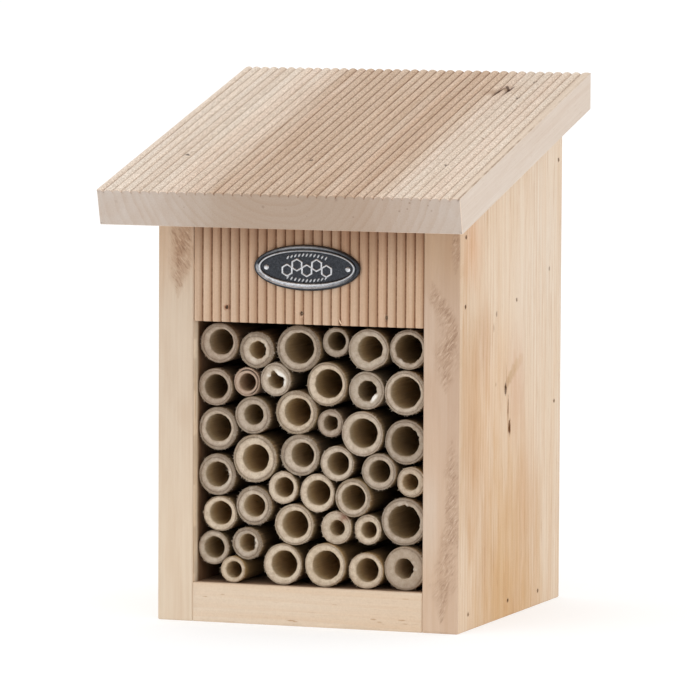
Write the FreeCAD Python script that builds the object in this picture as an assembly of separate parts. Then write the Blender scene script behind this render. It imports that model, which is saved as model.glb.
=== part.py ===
import FreeCAD, Part
import math
import os

V = FreeCAD.Vector

# ---------------------------------------------------------------------------
# Bee hotel: a nailed softwood box with a reeded pent roof, a reeded front
# board with an oval plaque, and a bay filled with cut bamboo nesting tubes.
# Millimetres, +Z up, -Y is the front. The origin is the centre of the
# bounding box on the standing plane.
# ---------------------------------------------------------------------------

# Casing
BODY_W = 128.0          # outside width of the box
BODY_D = 130.0          # front plane to back plane
BOARD_T = 15.0          # side, front, back and ceiling boards
FLOOR_T = 15.8          # floor board
BAY_TOP = 121.3         # lower edge of the front board, underside of ceiling
Y_FRONT = -47.0         # front plane of the box
Y_BACK = Y_FRONT + BODY_D

# Roof
ROOF_SLOPE = 14.70      # degrees, rising to the back
ROOF_T = 14.8           # square to the slope
ROOF_HALF_W = 76.2      # half the roof's width
ROOF_FRONT = 36.0       # top front arris in front of the front plane
ROOF_UNDER_Z = 169.6    # roof underside over the front plane

# Reeding: rounded ribs with narrow grooves
REED_PITCH = 3.92
REED_DEPTH = 0.95
FRONT_REEDS = 25
ROOF_FIRST_GROOVE = -73.5
ROOF_PITCH = 3.93
ROOF_GROOVES = 38

# Brad nails
NAIL_HEAD_R = 0.95
NAIL_HEAD_T = 0.9
NAIL_SHANK_R = 0.60
NAIL_LEN = 30.0
NAIL_SINK = 0.5

# Oval plaque and its two pins
PLAQUE_W = 45.0
PLAQUE_H = 18.5
PLAQUE_T = 1.5
PLAQUE_RIM_W = 1.3
PLAQUE_RIM_T = 0.7
PLAQUE_Z = 144.1
PIN_X = (-17.2, 17.5)
PIN_Z = 143.9
PIN_HEAD_R = 1.15
PIN_HEAD_T = 0.6
PIN_SHANK_R = 0.55
PIN_LEN = 12.0

# Hanging hole, drilled through the back board into the hollow under the roof
HANG_R = 4.0
HANG_Z = 184.0

# Nesting tubes: x, z of the axis, outer radius, bore radius, bore offset in
# x and z, front end behind the front plane, length
TUBES = [
    (-39.57, 112.38, 7.94, 5.22, 0.74, 0.46, 4.6, 107.0),
    (-23.77, 109.99, 7.25, 3.67, 0.25, -0.04, 5.4, 106.5),
    (-5.26, 111.22, 9.29, 6.30, 0.14, 0.28, 4.0, 107.5),
    (9.88, 114.14, 5.82, 3.79, 0.30, 0.44, 5.8, 107.0),
    (24.23, 111.61, 8.43, 5.31, 0.53, 0.37, 4.4, 106.0),
    (40.83, 112.22, 7.86, 5.73, 0.08, 0.23, 5.0, 107.5),
    (-41.28, 94.57, 7.40, 4.95, 0.28, 0.16, 4.8, 106.5),
    (-28.02, 96.95, 5.75, 3.56, 0.16, -0.07, 5.6, 107.0),
    (-15.39, 98.49, 6.66, 3.76, 0.25, 0.01, 4.9, 107.5),
    (6.68, 97.38, 8.67, 5.86, 0.65, 0.18, 4.3, 107.0),
    (23.10, 95.34, 7.56, 4.13, 0.16, -0.15, 5.3, 106.5),
    (39.83, 94.91, 8.86, 6.37, -0.10, 0.23, 4.7, 107.0),
    (-40.15, 77.85, 8.53, 5.63, 0.00, 0.31, 5.1, 107.5),
    (-24.92, 83.76, 7.48, 4.18, 0.33, 0.32, 4.2, 106.5),
    (-6.50, 85.56, 8.72, 5.68, 0.41, 0.17, 4.9, 107.0),
    (7.51, 81.58, 5.53, 3.20, 0.00, 0.00, 6.2, 106.0),
    (21.87, 78.03, 8.95, 5.95, 0.32, 0.32, 4.1, 107.5),
    (39.81, 75.28, 8.88, 6.09, -0.37, 0.21, 5.5, 107.0),
    (-23.68, 66.43, 9.57, 5.68, 0.29, 0.09, 3.6, 107.0),
    (-4.74, 68.41, 8.20, 4.95, 1.02, 0.20, 4.5, 106.5),
    (11.23, 65.73, 6.99, 4.68, 0.41, 0.05, 4.0, 107.0),
    (28.82, 63.08, 7.22, 4.57, 0.24, 0.13, 4.4, 107.5),
    (41.94, 59.32, 5.99, 3.41, -0.42, -0.06, 5.9, 106.5),
    (-40.39, 59.27, 8.30, 5.18, -0.08, 0.00, 5.0, 107.0),
    (-11.79, 55.16, 6.49, 4.08, 0.41, 0.16, 4.1, 106.5),
    (2.60, 53.47, 7.68, 5.08, 0.37, 0.13, 4.8, 107.5),
    (18.18, 52.28, 7.62, 5.08, 0.16, 0.13, 3.5, 107.0),
    (39.25, 43.40, 9.44, 6.78, 0.00, 0.00, 5.2, 107.0),
    (-38.91, 43.57, 7.15, 4.81, 0.21, 0.20, 4.3, 107.5),
    (-24.15, 47.40, 7.78, 4.62, 0.08, -0.03, 3.9, 107.0),
    (-7.05, 40.39, 8.26, 5.60, 0.40, 0.10, 4.4, 106.5),
    (10.72, 39.81, 6.58, 3.21, 0.28, -0.06, 4.9, 107.0),
    (23.97, 39.61, 5.99, 3.35, 0.33, -0.14, 5.4, 107.5),
    (-41.90, 29.63, 6.79, 4.39, 0.17, 0.08, 5.1, 106.5),
    (-27.03, 32.00, 6.41, 3.69, 0.16, 0.27, 4.0, 107.0),
    (-32.85, 21.27, 5.21, 3.39, 0.32, -0.03, 3.2, 107.5),
    (-11.66, 24.26, 8.20, 5.52, 0.57, 0.10, 3.8, 107.0),
    (6.55, 24.76, 8.71, 5.94, 0.41, -0.06, 3.4, 107.0),
    (23.80, 23.26, 7.20, 4.83, 0.49, 0.25, 3.7, 106.5),
    (39.97, 24.77, 8.72, 4.17, -0.34, -0.09, 4.6, 107.5),
]
TUBE_END_WALL = 5.0     # closed knot at the back end of each tube

# Nails on the right side board: y behind the front plane, z
SIDE_NAILS = [(7.5, 157.5), (7.2, 129.9), (71.5, 128.3), (121.3, 82.9),
              (125.0, 182.7), (12.8, 6.6), (62.6, 6.4), (101.5, 5.9)]
# The left side board's nails, driven by hand to the same plan
SIDE_NAILS_L = [(7.3, 156.2), (7.6, 130.8), (68.9, 128.9), (122.0, 80.4),
                (124.2, 180.1), (14.6, 7.0), (60.4, 6.8), (103.2, 6.3)]
# Roof nails: x, y behind the front plane
ROOF_NAILS = [(56.4, 5.6), (56.4, 94.4), (56.6, 116.2), (-55.6, 10.1),
              (-1.3, 6.8)]
# Front board nails into the ceiling board: x, z
FRONT_NAILS = [(-34.6, 127.3), (-2.7, 125.7), (33.2, 125.1)]


SLOPE = math.radians(ROOF_SLOPE)
TAN = math.tan(SLOPE)
HALF_IN = BODY_W / 2 - BOARD_T
BAY_D = BODY_D - BOARD_T


def under_z(y):
    """Height of the roof's underside at y behind the front plane."""
    return ROOF_UNDER_Z + y * TAN


def slab_yz(x0, x1, pts):
    """Prism between x0 and x1 from (y behind the front plane, z) points."""
    ring = [V(x0, Y_FRONT + y, z) for y, z in pts]
    face = Part.Face(Part.makePolygon(ring + ring[:1]))
    return face.extrude(V(x1 - x0, 0, 0))


def box(x0, x1, y0, y1, z0, z1):
    return Part.makeBox(x1 - x0, y1 - y0, z1 - z0, V(x0, Y_FRONT + y0, z0))


def nail(at, way):
    """A sunk brad at a surface point, driven along way, and its hole."""
    d = V(way)
    d.normalize()
    top = V(at) + d * NAIL_SINK
    head = Part.makeCylinder(NAIL_HEAD_R, NAIL_HEAD_T, top, d)
    shank = Part.makeCylinder(NAIL_SHANK_R, NAIL_LEN - NAIL_HEAD_T,
                              top + d * NAIL_HEAD_T, d)
    brad = head.fuse(shank).removeSplitter()
    sink = Part.makeCylinder(NAIL_HEAD_R, NAIL_SINK + 1.5, V(at) - d * 1.5, d)
    hole = brad.fuse(sink).removeSplitter()
    return brad, hole


def reed_edges(xs, mids, crest, valley, place, ends):
    """Edges of a reeded line: arcs from groove to groove."""
    edges = []
    for i in range(len(xs) - 1):
        a = place(xs[i], ends[0] if i == 0 else valley)
        m = place(mids[i], crest)
        b = place(xs[i + 1], ends[1] if i == len(xs) - 2 else valley)
        edges.append(Part.Arc(a, m, b).toShape())
    return edges


# --- nails ------------------------------------------------------------------
right = [nail(V(BODY_W / 2, Y_FRONT + y, z), V(-1, 0, 0)) for y, z in SIDE_NAILS]
left = [nail(V(-BODY_W / 2, Y_FRONT + y, z), V(1, 0, 0)) for y, z in SIDE_NAILS_L]
normal = V(0, -math.sin(SLOPE), math.cos(SLOPE))
roof = []
for x, y in ROOF_NAILS:
    at = V(x, Y_FRONT + y, under_z(y) + (ROOF_T - REED_DEPTH / 2) / math.cos(SLOPE))
    roof.append(nail(at, normal * -1))
front = [nail(V(x, Y_FRONT + REED_DEPTH / 2, z), V(0, 1, 0)) for x, z in FRONT_NAILS]


def drilled(shape, holes):
    near = [h for h in holes if h.BoundBox.intersect(shape.BoundBox)]
    return shape.cut(near) if near else shape


holes = [h for group in (right, left, roof, front) for _, h in group]

# --- casing boards ----------------------------------------------------------
profile = [(0, 0), (BODY_D, 0), (BODY_D, under_z(BODY_D)), (0, under_z(0))]
left_side = drilled(slab_yz(-BODY_W / 2, -HALF_IN, profile), holes)
right_side = drilled(slab_yz(HALF_IN, BODY_W / 2, profile), holes)
floor = drilled(box(-HALF_IN, HALF_IN, 0, BAY_D, 0, FLOOR_T), holes)
ceiling = drilled(box(-HALF_IN, HALF_IN, BOARD_T, BAY_D,
                      BAY_TOP, BAY_TOP + BOARD_T), holes)
back = slab_yz(-HALF_IN, HALF_IN,
               [(BAY_D, 0), (BODY_D, 0), (BODY_D, under_z(BODY_D)),
                (BAY_D, under_z(BAY_D))])
back = back.cut(Part.makeCylinder(HANG_R, BOARD_T + 2,
                                  V(0, Y_BACK - BOARD_T - 1, HANG_Z), V(0, 1, 0)))
back = drilled(back, holes)

# Front board: reeded on its face, top edge cut to the roof's slope
xs = [-HALF_IN + REED_PITCH * i for i in range(FRONT_REEDS + 1)]
xs[-1] = HALF_IN
mids = [(a + b) / 2 for a, b in zip(xs, xs[1:])]
at_front = lambda x, d: V(x, Y_FRONT - d, BAY_TOP)
edges = reed_edges(xs, mids, 0.0, -REED_DEPTH, at_front, (-REED_DEPTH, -REED_DEPTH))
p0, p1 = at_front(HALF_IN, -REED_DEPTH), at_front(-HALF_IN, -REED_DEPTH)
q0, q1 = V(HALF_IN, Y_FRONT + BOARD_T, BAY_TOP), V(-HALF_IN, Y_FRONT + BOARD_T, BAY_TOP)
edges += [Part.LineSegment(p0, q0).toShape(), Part.LineSegment(q0, q1).toShape(),
          Part.LineSegment(q1, p1).toShape()]
face = Part.Face(Part.Wire(Part.__sortEdges__(edges)))
front_board = face.extrude(V(0, 0, 80))
top_cut = slab_yz(-HALF_IN - 5, HALF_IN + 5,
                  [(-5, under_z(-5)), (40, under_z(40)), (40, 260), (-5, 260)])
front_board = front_board.cut(top_cut)

# --- plaque and pins --------------------------------------------------------
def oval(w, h, y0, y1):
    ring = Part.Ellipse(V(0, 0, 0), w / 2, h / 2).toShape()
    solid = Part.Face(Part.Wire([ring])).extrude(V(0, 0, y1 - y0))
    solid.rotate(V(0, 0, 0), V(1, 0, 0), 90)
    solid.translate(V(0, y1, PLAQUE_Z))
    return solid


plate_y0 = Y_FRONT - PLAQUE_T
plaque = oval(PLAQUE_W, PLAQUE_H, plate_y0, Y_FRONT)
rim = oval(PLAQUE_W, PLAQUE_H, plate_y0 - PLAQUE_RIM_T, plate_y0)
rim = rim.cut(oval(PLAQUE_W - 2 * PLAQUE_RIM_W, PLAQUE_H - 2 * PLAQUE_RIM_W,
                   plate_y0 - PLAQUE_RIM_T - 1, plate_y0 + 1))
plaque = plaque.fuse(rim)
# A row of comb cells stands up from the field
cell_r = 2.35
for i in range(-2, 3):
    cx = i * cell_r * math.sqrt(3) * 1.04
    cz = PLAQUE_Z + (1.05 if i % 2 else -1.05)
    hexa = [V(cx + cell_r * math.sin(k * math.pi / 3), plate_y0 - 0.3,
              cz + cell_r * math.cos(k * math.pi / 3)) for k in range(7)]
    hexb = [V(cx + 0.72 * cell_r * math.sin(k * math.pi / 3), plate_y0 - 0.3,
              cz + 0.72 * cell_r * math.cos(k * math.pi / 3)) for k in range(7)]
    cell = Part.Face(Part.makePolygon(hexa)).extrude(V(0, 0.5, 0))
    cell = cell.cut(Part.Face(Part.makePolygon(hexb)).extrude(V(0, 0.5, 0)))
    plaque = plaque.fuse(cell)
plaque = plaque.removeSplitter()

pins = []
for x in PIN_X:
    head = Part.makeCylinder(PIN_HEAD_R, PIN_HEAD_T,
                             V(x, plate_y0 - PIN_HEAD_T, PIN_Z), V(0, 1, 0))
    round_over = [e for e in head.Edges if abs(e.BoundBox.YMax - (plate_y0 - PIN_HEAD_T)) < 1e-6
                  and abs(e.BoundBox.YMin - (plate_y0 - PIN_HEAD_T)) < 1e-6]
    head = head.makeFillet(0.35, round_over)
    shank = Part.makeCylinder(PIN_SHANK_R, PIN_LEN, V(x, plate_y0, PIN_Z), V(0, 1, 0))
    pins.append(head.fuse(shank).removeSplitter())
    bore = Part.makeCylinder(PIN_SHANK_R, PIN_LEN + 3, V(x, plate_y0 - 3, PIN_Z), V(0, 1, 0))
    plaque = plaque.cut(bore)
    front_board = front_board.cut(
        Part.makeCylinder(PIN_SHANK_R, PIN_LEN + 3, V(x, plate_y0 - 3, PIN_Z), V(0, 1, 0)))
front_board = drilled(front_board, holes)

# --- roof -------------------------------------------------------------------
# Reeded section drawn square to the slope at the front end, then run back
run = V(0, math.cos(SLOPE), math.sin(SLOPE))
top_front = V(0, Y_FRONT - ROOF_FRONT, under_z(-ROOF_FRONT) + ROOF_T / math.cos(SLOPE))
bottom_front = top_front - normal * ROOF_T


def on_roof(x, d):
    return V(x, 0, 0) + top_front + normal * d


gx = [ROOF_FIRST_GROOVE + ROOF_PITCH * i for i in range(ROOF_GROOVES)]
rx = [-ROOF_HALF_W] + gx + [ROOF_HALF_W]
rm = [(a + b) / 2 for a, b in zip(rx, rx[1:])]
rm[0] = -75.2
rm[-1] = 73.9
edges = reed_edges(rx, rm, 0.0, -REED_DEPTH, on_roof, (-0.2, -0.3))
ra, rb = on_roof(ROOF_HALF_W, -0.3), V(ROOF_HALF_W, 0, 0) + bottom_front
rc, rd = V(-ROOF_HALF_W, 0, 0) + bottom_front, on_roof(-ROOF_HALF_W, -0.2)
edges += [Part.LineSegment(ra, rb).toShape(), Part.LineSegment(rb, rc).toShape(),
          Part.LineSegment(rc, rd).toShape()]
face = Part.Face(Part.Wire(Part.__sortEdges__(edges)))
roof_board = face.extrude(run * 200)
roof_board = roof_board.cut(Part.makeBox(400, 200, 500, V(-200, Y_BACK, -50)))
roof_board = drilled(roof_board, holes)

# --- nesting tubes ----------------------------------------------------------
tubes = []
for x, z, r_out, r_in, ex, ez, recess, length in TUBES:
    y0 = Y_FRONT + recess
    cane = Part.makeCylinder(r_out, length, V(x, y0, z), V(0, 1, 0))
    bore = Part.makeCylinder(r_in, length - TUBE_END_WALL + 1,
                             V(x + ex, y0 - 1, z + ez), V(0, 1, 0))
    tubes.append(cane.cut(bore))

# --- write ------------------------------------------------------------------
os.makedirs("parts", exist_ok=True)
nodes = {
    "left_side_board": left_side,
    "right_side_board": right_side,
    "floor_board": floor,
    "back_board": back,
    "front_board": front_board,
    "ceiling_board": ceiling,
    "roof_board": roof_board,
    "oval_plaque": plaque,
    "plaque_pins": Part.makeCompound(pins),
    "side_nails_right": Part.makeCompound([n for n, _ in right]),
    "side_nails_left": Part.makeCompound([n for n, _ in left]),
    "roof_nails": Part.makeCompound([n for n, _ in roof]),
    "front_board_nails": Part.makeCompound([n for n, _ in front]),
}
for i, tube in enumerate(tubes):
    nodes["nest_tube_%02d" % (i + 1)] = tube

for name, shape in nodes.items():
    solids = shape.Solids
    assert solids and all(s.isValid() for s in solids), name
    print(name, len(solids), "solids", round(sum(s.Volume for s in solids), 1), "mm3")
    out = solids[0] if len(solids) == 1 else Part.makeCompound(solids)
    out.exportStep("parts/%s.step" % name)
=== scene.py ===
import math

import bmesh
import bpy
import numpy as np
from mathutils import Matrix, Vector, noise


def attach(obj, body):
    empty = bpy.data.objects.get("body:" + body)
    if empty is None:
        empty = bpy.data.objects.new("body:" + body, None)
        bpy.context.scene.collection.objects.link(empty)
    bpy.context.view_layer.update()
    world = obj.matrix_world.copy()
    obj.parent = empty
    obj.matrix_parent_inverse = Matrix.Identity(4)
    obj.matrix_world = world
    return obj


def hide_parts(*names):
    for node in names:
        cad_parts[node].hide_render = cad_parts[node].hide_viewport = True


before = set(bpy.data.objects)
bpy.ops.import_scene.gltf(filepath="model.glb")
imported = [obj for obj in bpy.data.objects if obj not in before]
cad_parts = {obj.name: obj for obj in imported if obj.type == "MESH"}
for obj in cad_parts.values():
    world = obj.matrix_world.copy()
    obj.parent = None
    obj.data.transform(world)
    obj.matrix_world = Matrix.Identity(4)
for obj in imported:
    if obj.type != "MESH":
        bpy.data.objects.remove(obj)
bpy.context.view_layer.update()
SCENE = bpy.context.scene

# ---------------------------------------------------------------------------
# Sizes, in millimetres in the row frame. YF is the front plane of the box.
# ---------------------------------------------------------------------------
YF = -47.0
BODY_W, BODY_D, BOARD_T, FLOOR_T, BAY_TOP = 128.0, 130.0, 15.0, 15.8, 121.3
HALF_IN = BODY_W / 2 - BOARD_T
BAY_D = BODY_D - BOARD_T
SLOPE = math.radians(14.70)
TAN, COS, SIN = math.tan(SLOPE), math.cos(SLOPE), math.sin(SLOPE)
ROOF_T, ROOF_HALF, ROOF_FRONT, UNDER_Z = 14.8, 76.2, 36.0, 169.6
ROOF_G0, ROOF_P, ROOF_N = -73.5, 3.93, 38
REED_P, REED_D = 3.92, 0.95
HANG_R, HANG_Z = 4.0, 184.0

SIDE_NAILS = [(7.5, 157.5), (7.2, 129.9), (71.5, 128.3), (121.3, 82.9),
              (125.0, 182.7), (12.8, 6.6), (62.6, 6.4), (101.5, 5.9)]
SIDE_NAILS_L = [(7.3, 156.2), (7.6, 130.8), (68.9, 128.9), (122.0, 80.4),
                (124.2, 180.1), (14.6, 7.0), (60.4, 6.8), (103.2, 6.3)]
ROOF_NAILS = [(56.4, 5.6), (56.4, 94.4), (56.6, 116.2), (-55.6, 10.1), (-1.3, 6.8)]
FRONT_NAILS = [(-34.6, 127.3), (-2.7, 125.7), (33.2, 125.1)]

# x, z, outer radius, bore radius, bore offset x, z, recess, length
TUBES = [
    (-39.57, 112.38, 7.94, 5.22, 0.74, 0.46, 4.6, 107.0),
    (-23.77, 109.99, 7.25, 3.67, 0.25, -0.04, 5.4, 106.5),
    (-5.26, 111.22, 9.29, 6.30, 0.14, 0.28, 4.0, 107.5),
    (9.88, 114.14, 5.82, 3.79, 0.30, 0.44, 5.8, 107.0),
    (24.23, 111.61, 8.43, 5.31, 0.53, 0.37, 4.4, 106.0),
    (40.83, 112.22, 7.86, 5.73, 0.08, 0.23, 5.0, 107.5),
    (-41.28, 94.57, 7.40, 4.95, 0.28, 0.16, 4.8, 106.5),
    (-28.02, 96.95, 5.75, 3.56, 0.16, -0.07, 5.6, 107.0),
    (-15.39, 98.49, 6.66, 3.76, 0.25, 0.01, 4.9, 107.5),
    (6.68, 97.38, 8.67, 5.86, 0.65, 0.18, 4.3, 107.0),
    (23.10, 95.34, 7.56, 4.13, 0.16, -0.15, 5.3, 106.5),
    (39.83, 94.91, 8.86, 6.37, -0.10, 0.23, 4.7, 107.0),
    (-40.15, 77.85, 8.53, 5.63, 0.00, 0.31, 5.1, 107.5),
    (-24.92, 83.76, 7.48, 4.18, 0.33, 0.32, 4.2, 106.5),
    (-6.50, 85.56, 8.72, 5.68, 0.41, 0.17, 4.9, 107.0),
    (7.51, 81.58, 5.53, 3.20, 0.00, 0.00, 6.2, 106.0),
    (21.87, 78.03, 8.95, 5.95, 0.32, 0.32, 4.1, 107.5),
    (39.81, 75.28, 8.88, 6.09, -0.37, 0.21, 5.5, 107.0),
    (-23.68, 66.43, 9.57, 5.68, 0.29, 0.09, 3.6, 107.0),
    (-4.74, 68.41, 8.20, 4.95, 1.02, 0.20, 4.5, 106.5),
    (11.23, 65.73, 6.99, 4.68, 0.41, 0.05, 4.0, 107.0),
    (28.82, 63.08, 7.22, 4.57, 0.24, 0.13, 4.4, 107.5),
    (41.94, 59.32, 5.99, 3.41, -0.42, -0.06, 5.9, 106.5),
    (-40.39, 59.27, 8.30, 5.18, -0.08, 0.00, 5.0, 107.0),
    (-11.79, 55.16, 6.49, 4.08, 0.41, 0.16, 4.1, 106.5),
    (2.60, 53.47, 7.68, 5.08, 0.37, 0.13, 4.8, 107.5),
    (18.18, 52.28, 7.62, 5.08, 0.16, 0.13, 3.5, 107.0),
    (39.25, 43.40, 9.44, 6.78, 0.00, 0.00, 5.2, 107.0),
    (-38.91, 43.57, 7.15, 4.81, 0.21, 0.20, 4.3, 107.5),
    (-24.15, 47.40, 7.78, 4.62, 0.08, -0.03, 3.9, 107.0),
    (-7.05, 40.39, 8.26, 5.60, 0.40, 0.10, 4.4, 106.5),
    (10.72, 39.81, 6.58, 3.21, 0.28, -0.06, 4.9, 107.0),
    (23.97, 39.61, 5.99, 3.35, 0.33, -0.14, 5.4, 107.5),
    (-41.90, 29.63, 6.79, 4.39, 0.17, 0.08, 5.1, 106.5),
    (-27.03, 32.00, 6.41, 3.69, 0.16, 0.27, 4.0, 107.0),
    (-32.85, 21.27, 5.21, 3.39, 0.32, -0.03, 3.2, 107.5),
    (-11.66, 24.26, 8.20, 5.52, 0.57, 0.10, 3.8, 107.0),
    (6.55, 24.76, 8.71, 5.94, 0.41, -0.06, 3.4, 107.0),
    (23.80, 23.26, 7.20, 4.83, 0.49, 0.25, 3.7, 106.5),
    (39.97, 24.77, 8.72, 4.17, -0.34, -0.09, 4.6, 107.5),
]
END_WALL = 5.0


def under_z(y):
    """Height of the roof's underside, y behind the front plane."""
    return UNDER_Z + y * TAN


# ---------------------------------------------------------------------------
# Small tools
# ---------------------------------------------------------------------------
def fbm(x, y, z, octaves=3):
    v, a, f = 0.0, 0.5, 1.0
    for _ in range(octaves):
        v += a * noise.noise(Vector((x * f, y * f, z * f)))
        a *= 0.5
        f *= 2.03
    return v


def smoothstep(a, b, x):
    t = np.clip((x - a) / (b - a), 0.0, 1.0)
    return t * t * (3 - 2 * t)


def make(name, verts, faces, smooth=True, attrs=None):
    """An object from millimetre points in the row frame."""
    me = bpy.data.meshes.new(name)
    v = (np.asarray(verts, float) * 0.001).tolist()
    me.from_pydata(v, [], [tuple(int(i) for i in f) for f in faces])
    me.validate(clean_customdata=False)
    for key, vals in (attrs or {}).items():
        a = me.attributes.new(key, "FLOAT", "POINT")
        a.data.foreach_set("value", np.asarray(vals, np.float32))
    me.polygons.foreach_set("use_smooth", [smooth] * len(me.polygons))
    me.update()
    ob = bpy.data.objects.new(name, me)
    SCENE.collection.objects.link(ob)
    return ob


def tidy(ob, angle=38.0):
    """Outward faces, and sharp edges where the surface turns hard."""
    bm = bmesh.new()
    bm.from_mesh(ob.data)
    bmesh.ops.recalc_face_normals(bm, faces=bm.faces)
    lim = math.radians(angle)
    for e in bm.edges:
        if len(e.link_faces) == 2:
            e.smooth = e.calc_face_angle(0.0) < lim
    for f in bm.faces:
        f.smooth = True
    bm.to_mesh(ob.data)
    bm.free()
    ob.data.update()
    return ob


def carve(ob, cutters):
    """Cuts the cutters' solids out of ob, as mesh."""
    bm = bmesh.new()
    for v, f in cutters:
        base = [bm.verts.new(Vector(p) * 0.001) for p in v]
        for q in f:
            bm.faces.new([base[i] for i in q])
    bmesh.ops.recalc_face_normals(bm, faces=bm.faces)
    me = bpy.data.meshes.new("cutters")
    bm.to_mesh(me)
    bm.free()
    cut = bpy.data.objects.new("cutters", me)
    SCENE.collection.objects.link(cut)
    mod = ob.modifiers.new("cut", "BOOLEAN")
    mod.operation = "DIFFERENCE"
    mod.solver = "EXACT"
    mod.object = cut
    bpy.context.view_layer.update()
    dg = bpy.context.evaluated_depsgraph_get()
    done = bpy.data.meshes.new_from_object(ob.evaluated_get(dg))
    ob.modifiers.clear()
    bm = bmesh.new()
    bm.from_mesh(done)
    bmesh.ops.remove_doubles(bm, verts=bm.verts, dist=2e-6)
    bm.to_mesh(done)
    bm.free()
    old = ob.data
    ob.data = done
    done.name = old.name
    bpy.data.objects.remove(cut)
    bpy.data.meshes.remove(old)
    bpy.data.meshes.remove(me)
    return ob


def pit(at, way, along, ra, rb, depth, seed, lift=1.2, n=14):
    """A ragged hole: an uneven oval prism from above the surface down."""
    d = Vector(way).normalized()
    u = Vector(along).normalized()
    w = d.cross(u).normalized()
    top, mid, low = [], [], []
    for i in range(n):
        a = 2 * math.pi * i / n
        k = 1 + 0.28 * noise.noise(Vector((math.cos(a) * 1.3, math.sin(a) * 1.3, seed * 3.7)))
        e = u * (math.cos(a) * ra * k) + w * (math.sin(a) * rb * k)
        top.append(Vector(at) + e * 1.06 - d * lift)
        low.append(Vector(at) + e * 0.86 + d * depth)
    v = top + low
    f = [tuple(range(n - 1, -1, -1)), tuple(range(n, 2 * n))]
    f += [(i, (i + 1) % n, n + (i + 1) % n, n + i) for i in range(n)]
    return v, f


# ---------------------------------------------------------------------------
# Plain boards: a box with rounded arrises on a fine lattice
# ---------------------------------------------------------------------------
def board(name, lo, hi, cells, b, warp=None, segs=3):
    lo, hi = np.array(lo, float), np.array(hi, float)
    axes = []
    for k in range(3):
        L = hi[k] - lo[k]
        n = max(1, int(round((L - 2 * b) / cells[k])))
        mid = np.linspace(b, L - b, n + 1)
        e = np.array([b * math.tan(math.radians(45.0 * i / segs)) for i in range(1, segs + 1)])
        axes.append(np.concatenate([(b - e)[::-1], mid, (L - b) + e]))
    nx, ny, nz = (len(a) for a in axes)
    index, pts = {}, []

    def vid(i, j, k):
        key = (i, j, k)
        if key not in index:
            index[key] = len(pts)
            pts.append((axes[0][i], axes[1][j], axes[2][k]))
        return index[key]

    faces = []
    for i in range(nx - 1):
        for j in range(ny - 1):
            faces.append((vid(i, j, 0), vid(i, j + 1, 0), vid(i + 1, j + 1, 0), vid(i + 1, j, 0)))
            faces.append((vid(i, j, nz - 1), vid(i + 1, j, nz - 1), vid(i + 1, j + 1, nz - 1), vid(i, j + 1, nz - 1)))
    for i in range(nx - 1):
        for k in range(nz - 1):
            faces.append((vid(i, 0, k), vid(i + 1, 0, k), vid(i + 1, 0, k + 1), vid(i, 0, k + 1)))
            faces.append((vid(i, ny - 1, k), vid(i, ny - 1, k + 1), vid(i + 1, ny - 1, k + 1), vid(i + 1, ny - 1, k)))
    for j in range(ny - 1):
        for k in range(nz - 1):
            faces.append((vid(0, j, k), vid(0, j, k + 1), vid(0, j + 1, k + 1), vid(0, j + 1, k)))
            faces.append((vid(nx - 1, j, k), vid(nx - 1, j + 1, k), vid(nx - 1, j + 1, k + 1), vid(nx - 1, j, k + 1)))
    p = np.array(pts)
    size = hi - lo
    inner = np.clip(p, b, size - b)
    d = p - inner
    ln = np.linalg.norm(d, axis=1)
    p = inner + d / np.maximum(ln, 1e-9)[:, None] * b
    # arrises aren't dead straight: a slow wander and small nicks, always inwards
    edge = (np.abs(d) > 1e-6).sum(1) >= 2
    seed = sum(map(ord, name)) * 0.13
    for i in np.nonzero(edge)[0]:
        q = p[i]
        k = 0.10 + 0.16 * fbm(q[0] * 0.05 + seed, q[1] * 0.05, q[2] * 0.05, 2) \
            + 0.26 * max(0.0, fbm(q[0] * 0.55, q[1] * 0.55 + seed, q[2] * 0.55, 2) - 0.16)
        p[i] = q - d[i] / ln[i] * max(0.0, k)
    p = p + lo
    if warp is not None:
        p = warp(p)
    return make(name, p, faces)


def side_top(p):
    """Cuts a side or back board's upper end to the roof's slope."""
    q = p.copy()
    h = under_z(BODY_D)
    want = under_z(p[:, 1] - YF)
    up = np.clip((p[:, 2] - 120.0) / (h - 120.0), 0, None)
    q[:, 2] = np.where(p[:, 2] > 120.0, 120.0 + up * (want - 120.0), p[:, 2])
    return q


def lerp_table(z, table):
    zs = [t[0] for t in table]
    return [float(np.interp(z, zs, [t[i] for t in table])) for i in (1, 2, 3)]


# torn grain on the front edges of the side boards: height, middle, half width, how torn
TORN_R = [(-1.0, 57.0, 0.1, 0.5), (4.0, 57.0, 0.1, 0.5), (9.0, 57.0, 2.4, 0.55), (13.0, 56.8, 3.8, 0.70), (18.4, 57.6, 5.2, 0.65),
          (25.7, 59.0, 5.0, 0.60), (33.5, 60.0, 4.4, 0.60), (40.0, 61.0, 3.4, 0.95), (46.5, 61.3, 3.0, 1.0), (51.0, 61.4, 3.0, 1.0),
          (57.2, 61.4, 2.6, 0.75), (66.0, 61.2, 2.8, 0.75), (72.0, 61.0, 2.4, 0.5), (78.0, 61.0, 0.1, 0.3), (96.0, 58.5, 0.1, 0.5),
          (101.7, 58.5, 3.6, 0.75), (107.0, 58.1, 4.2, 0.8), (112.9, 59.0, 4.6, 0.85), (117.7, 60.8, 4.0, 1.0), (123.3, 60.2, 4.0, 0.8),
          (126.8, 58.2, 3.8, 0.75), (131.0, 55.8, 3.6, 0.85), (134.9, 53.8, 2.8, 0.7), (140.5, 52.6, 0.1, 0.3),
          (143.0, 62.2, 0.1, 0.4), (149.0, 62.6, 2.0, 0.6), (154.0, 62.6, 2.4, 0.7), (162.0, 62.4, 0.1, 0.5), (210.0, 61.0, 0.1, 0.5)]
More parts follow.
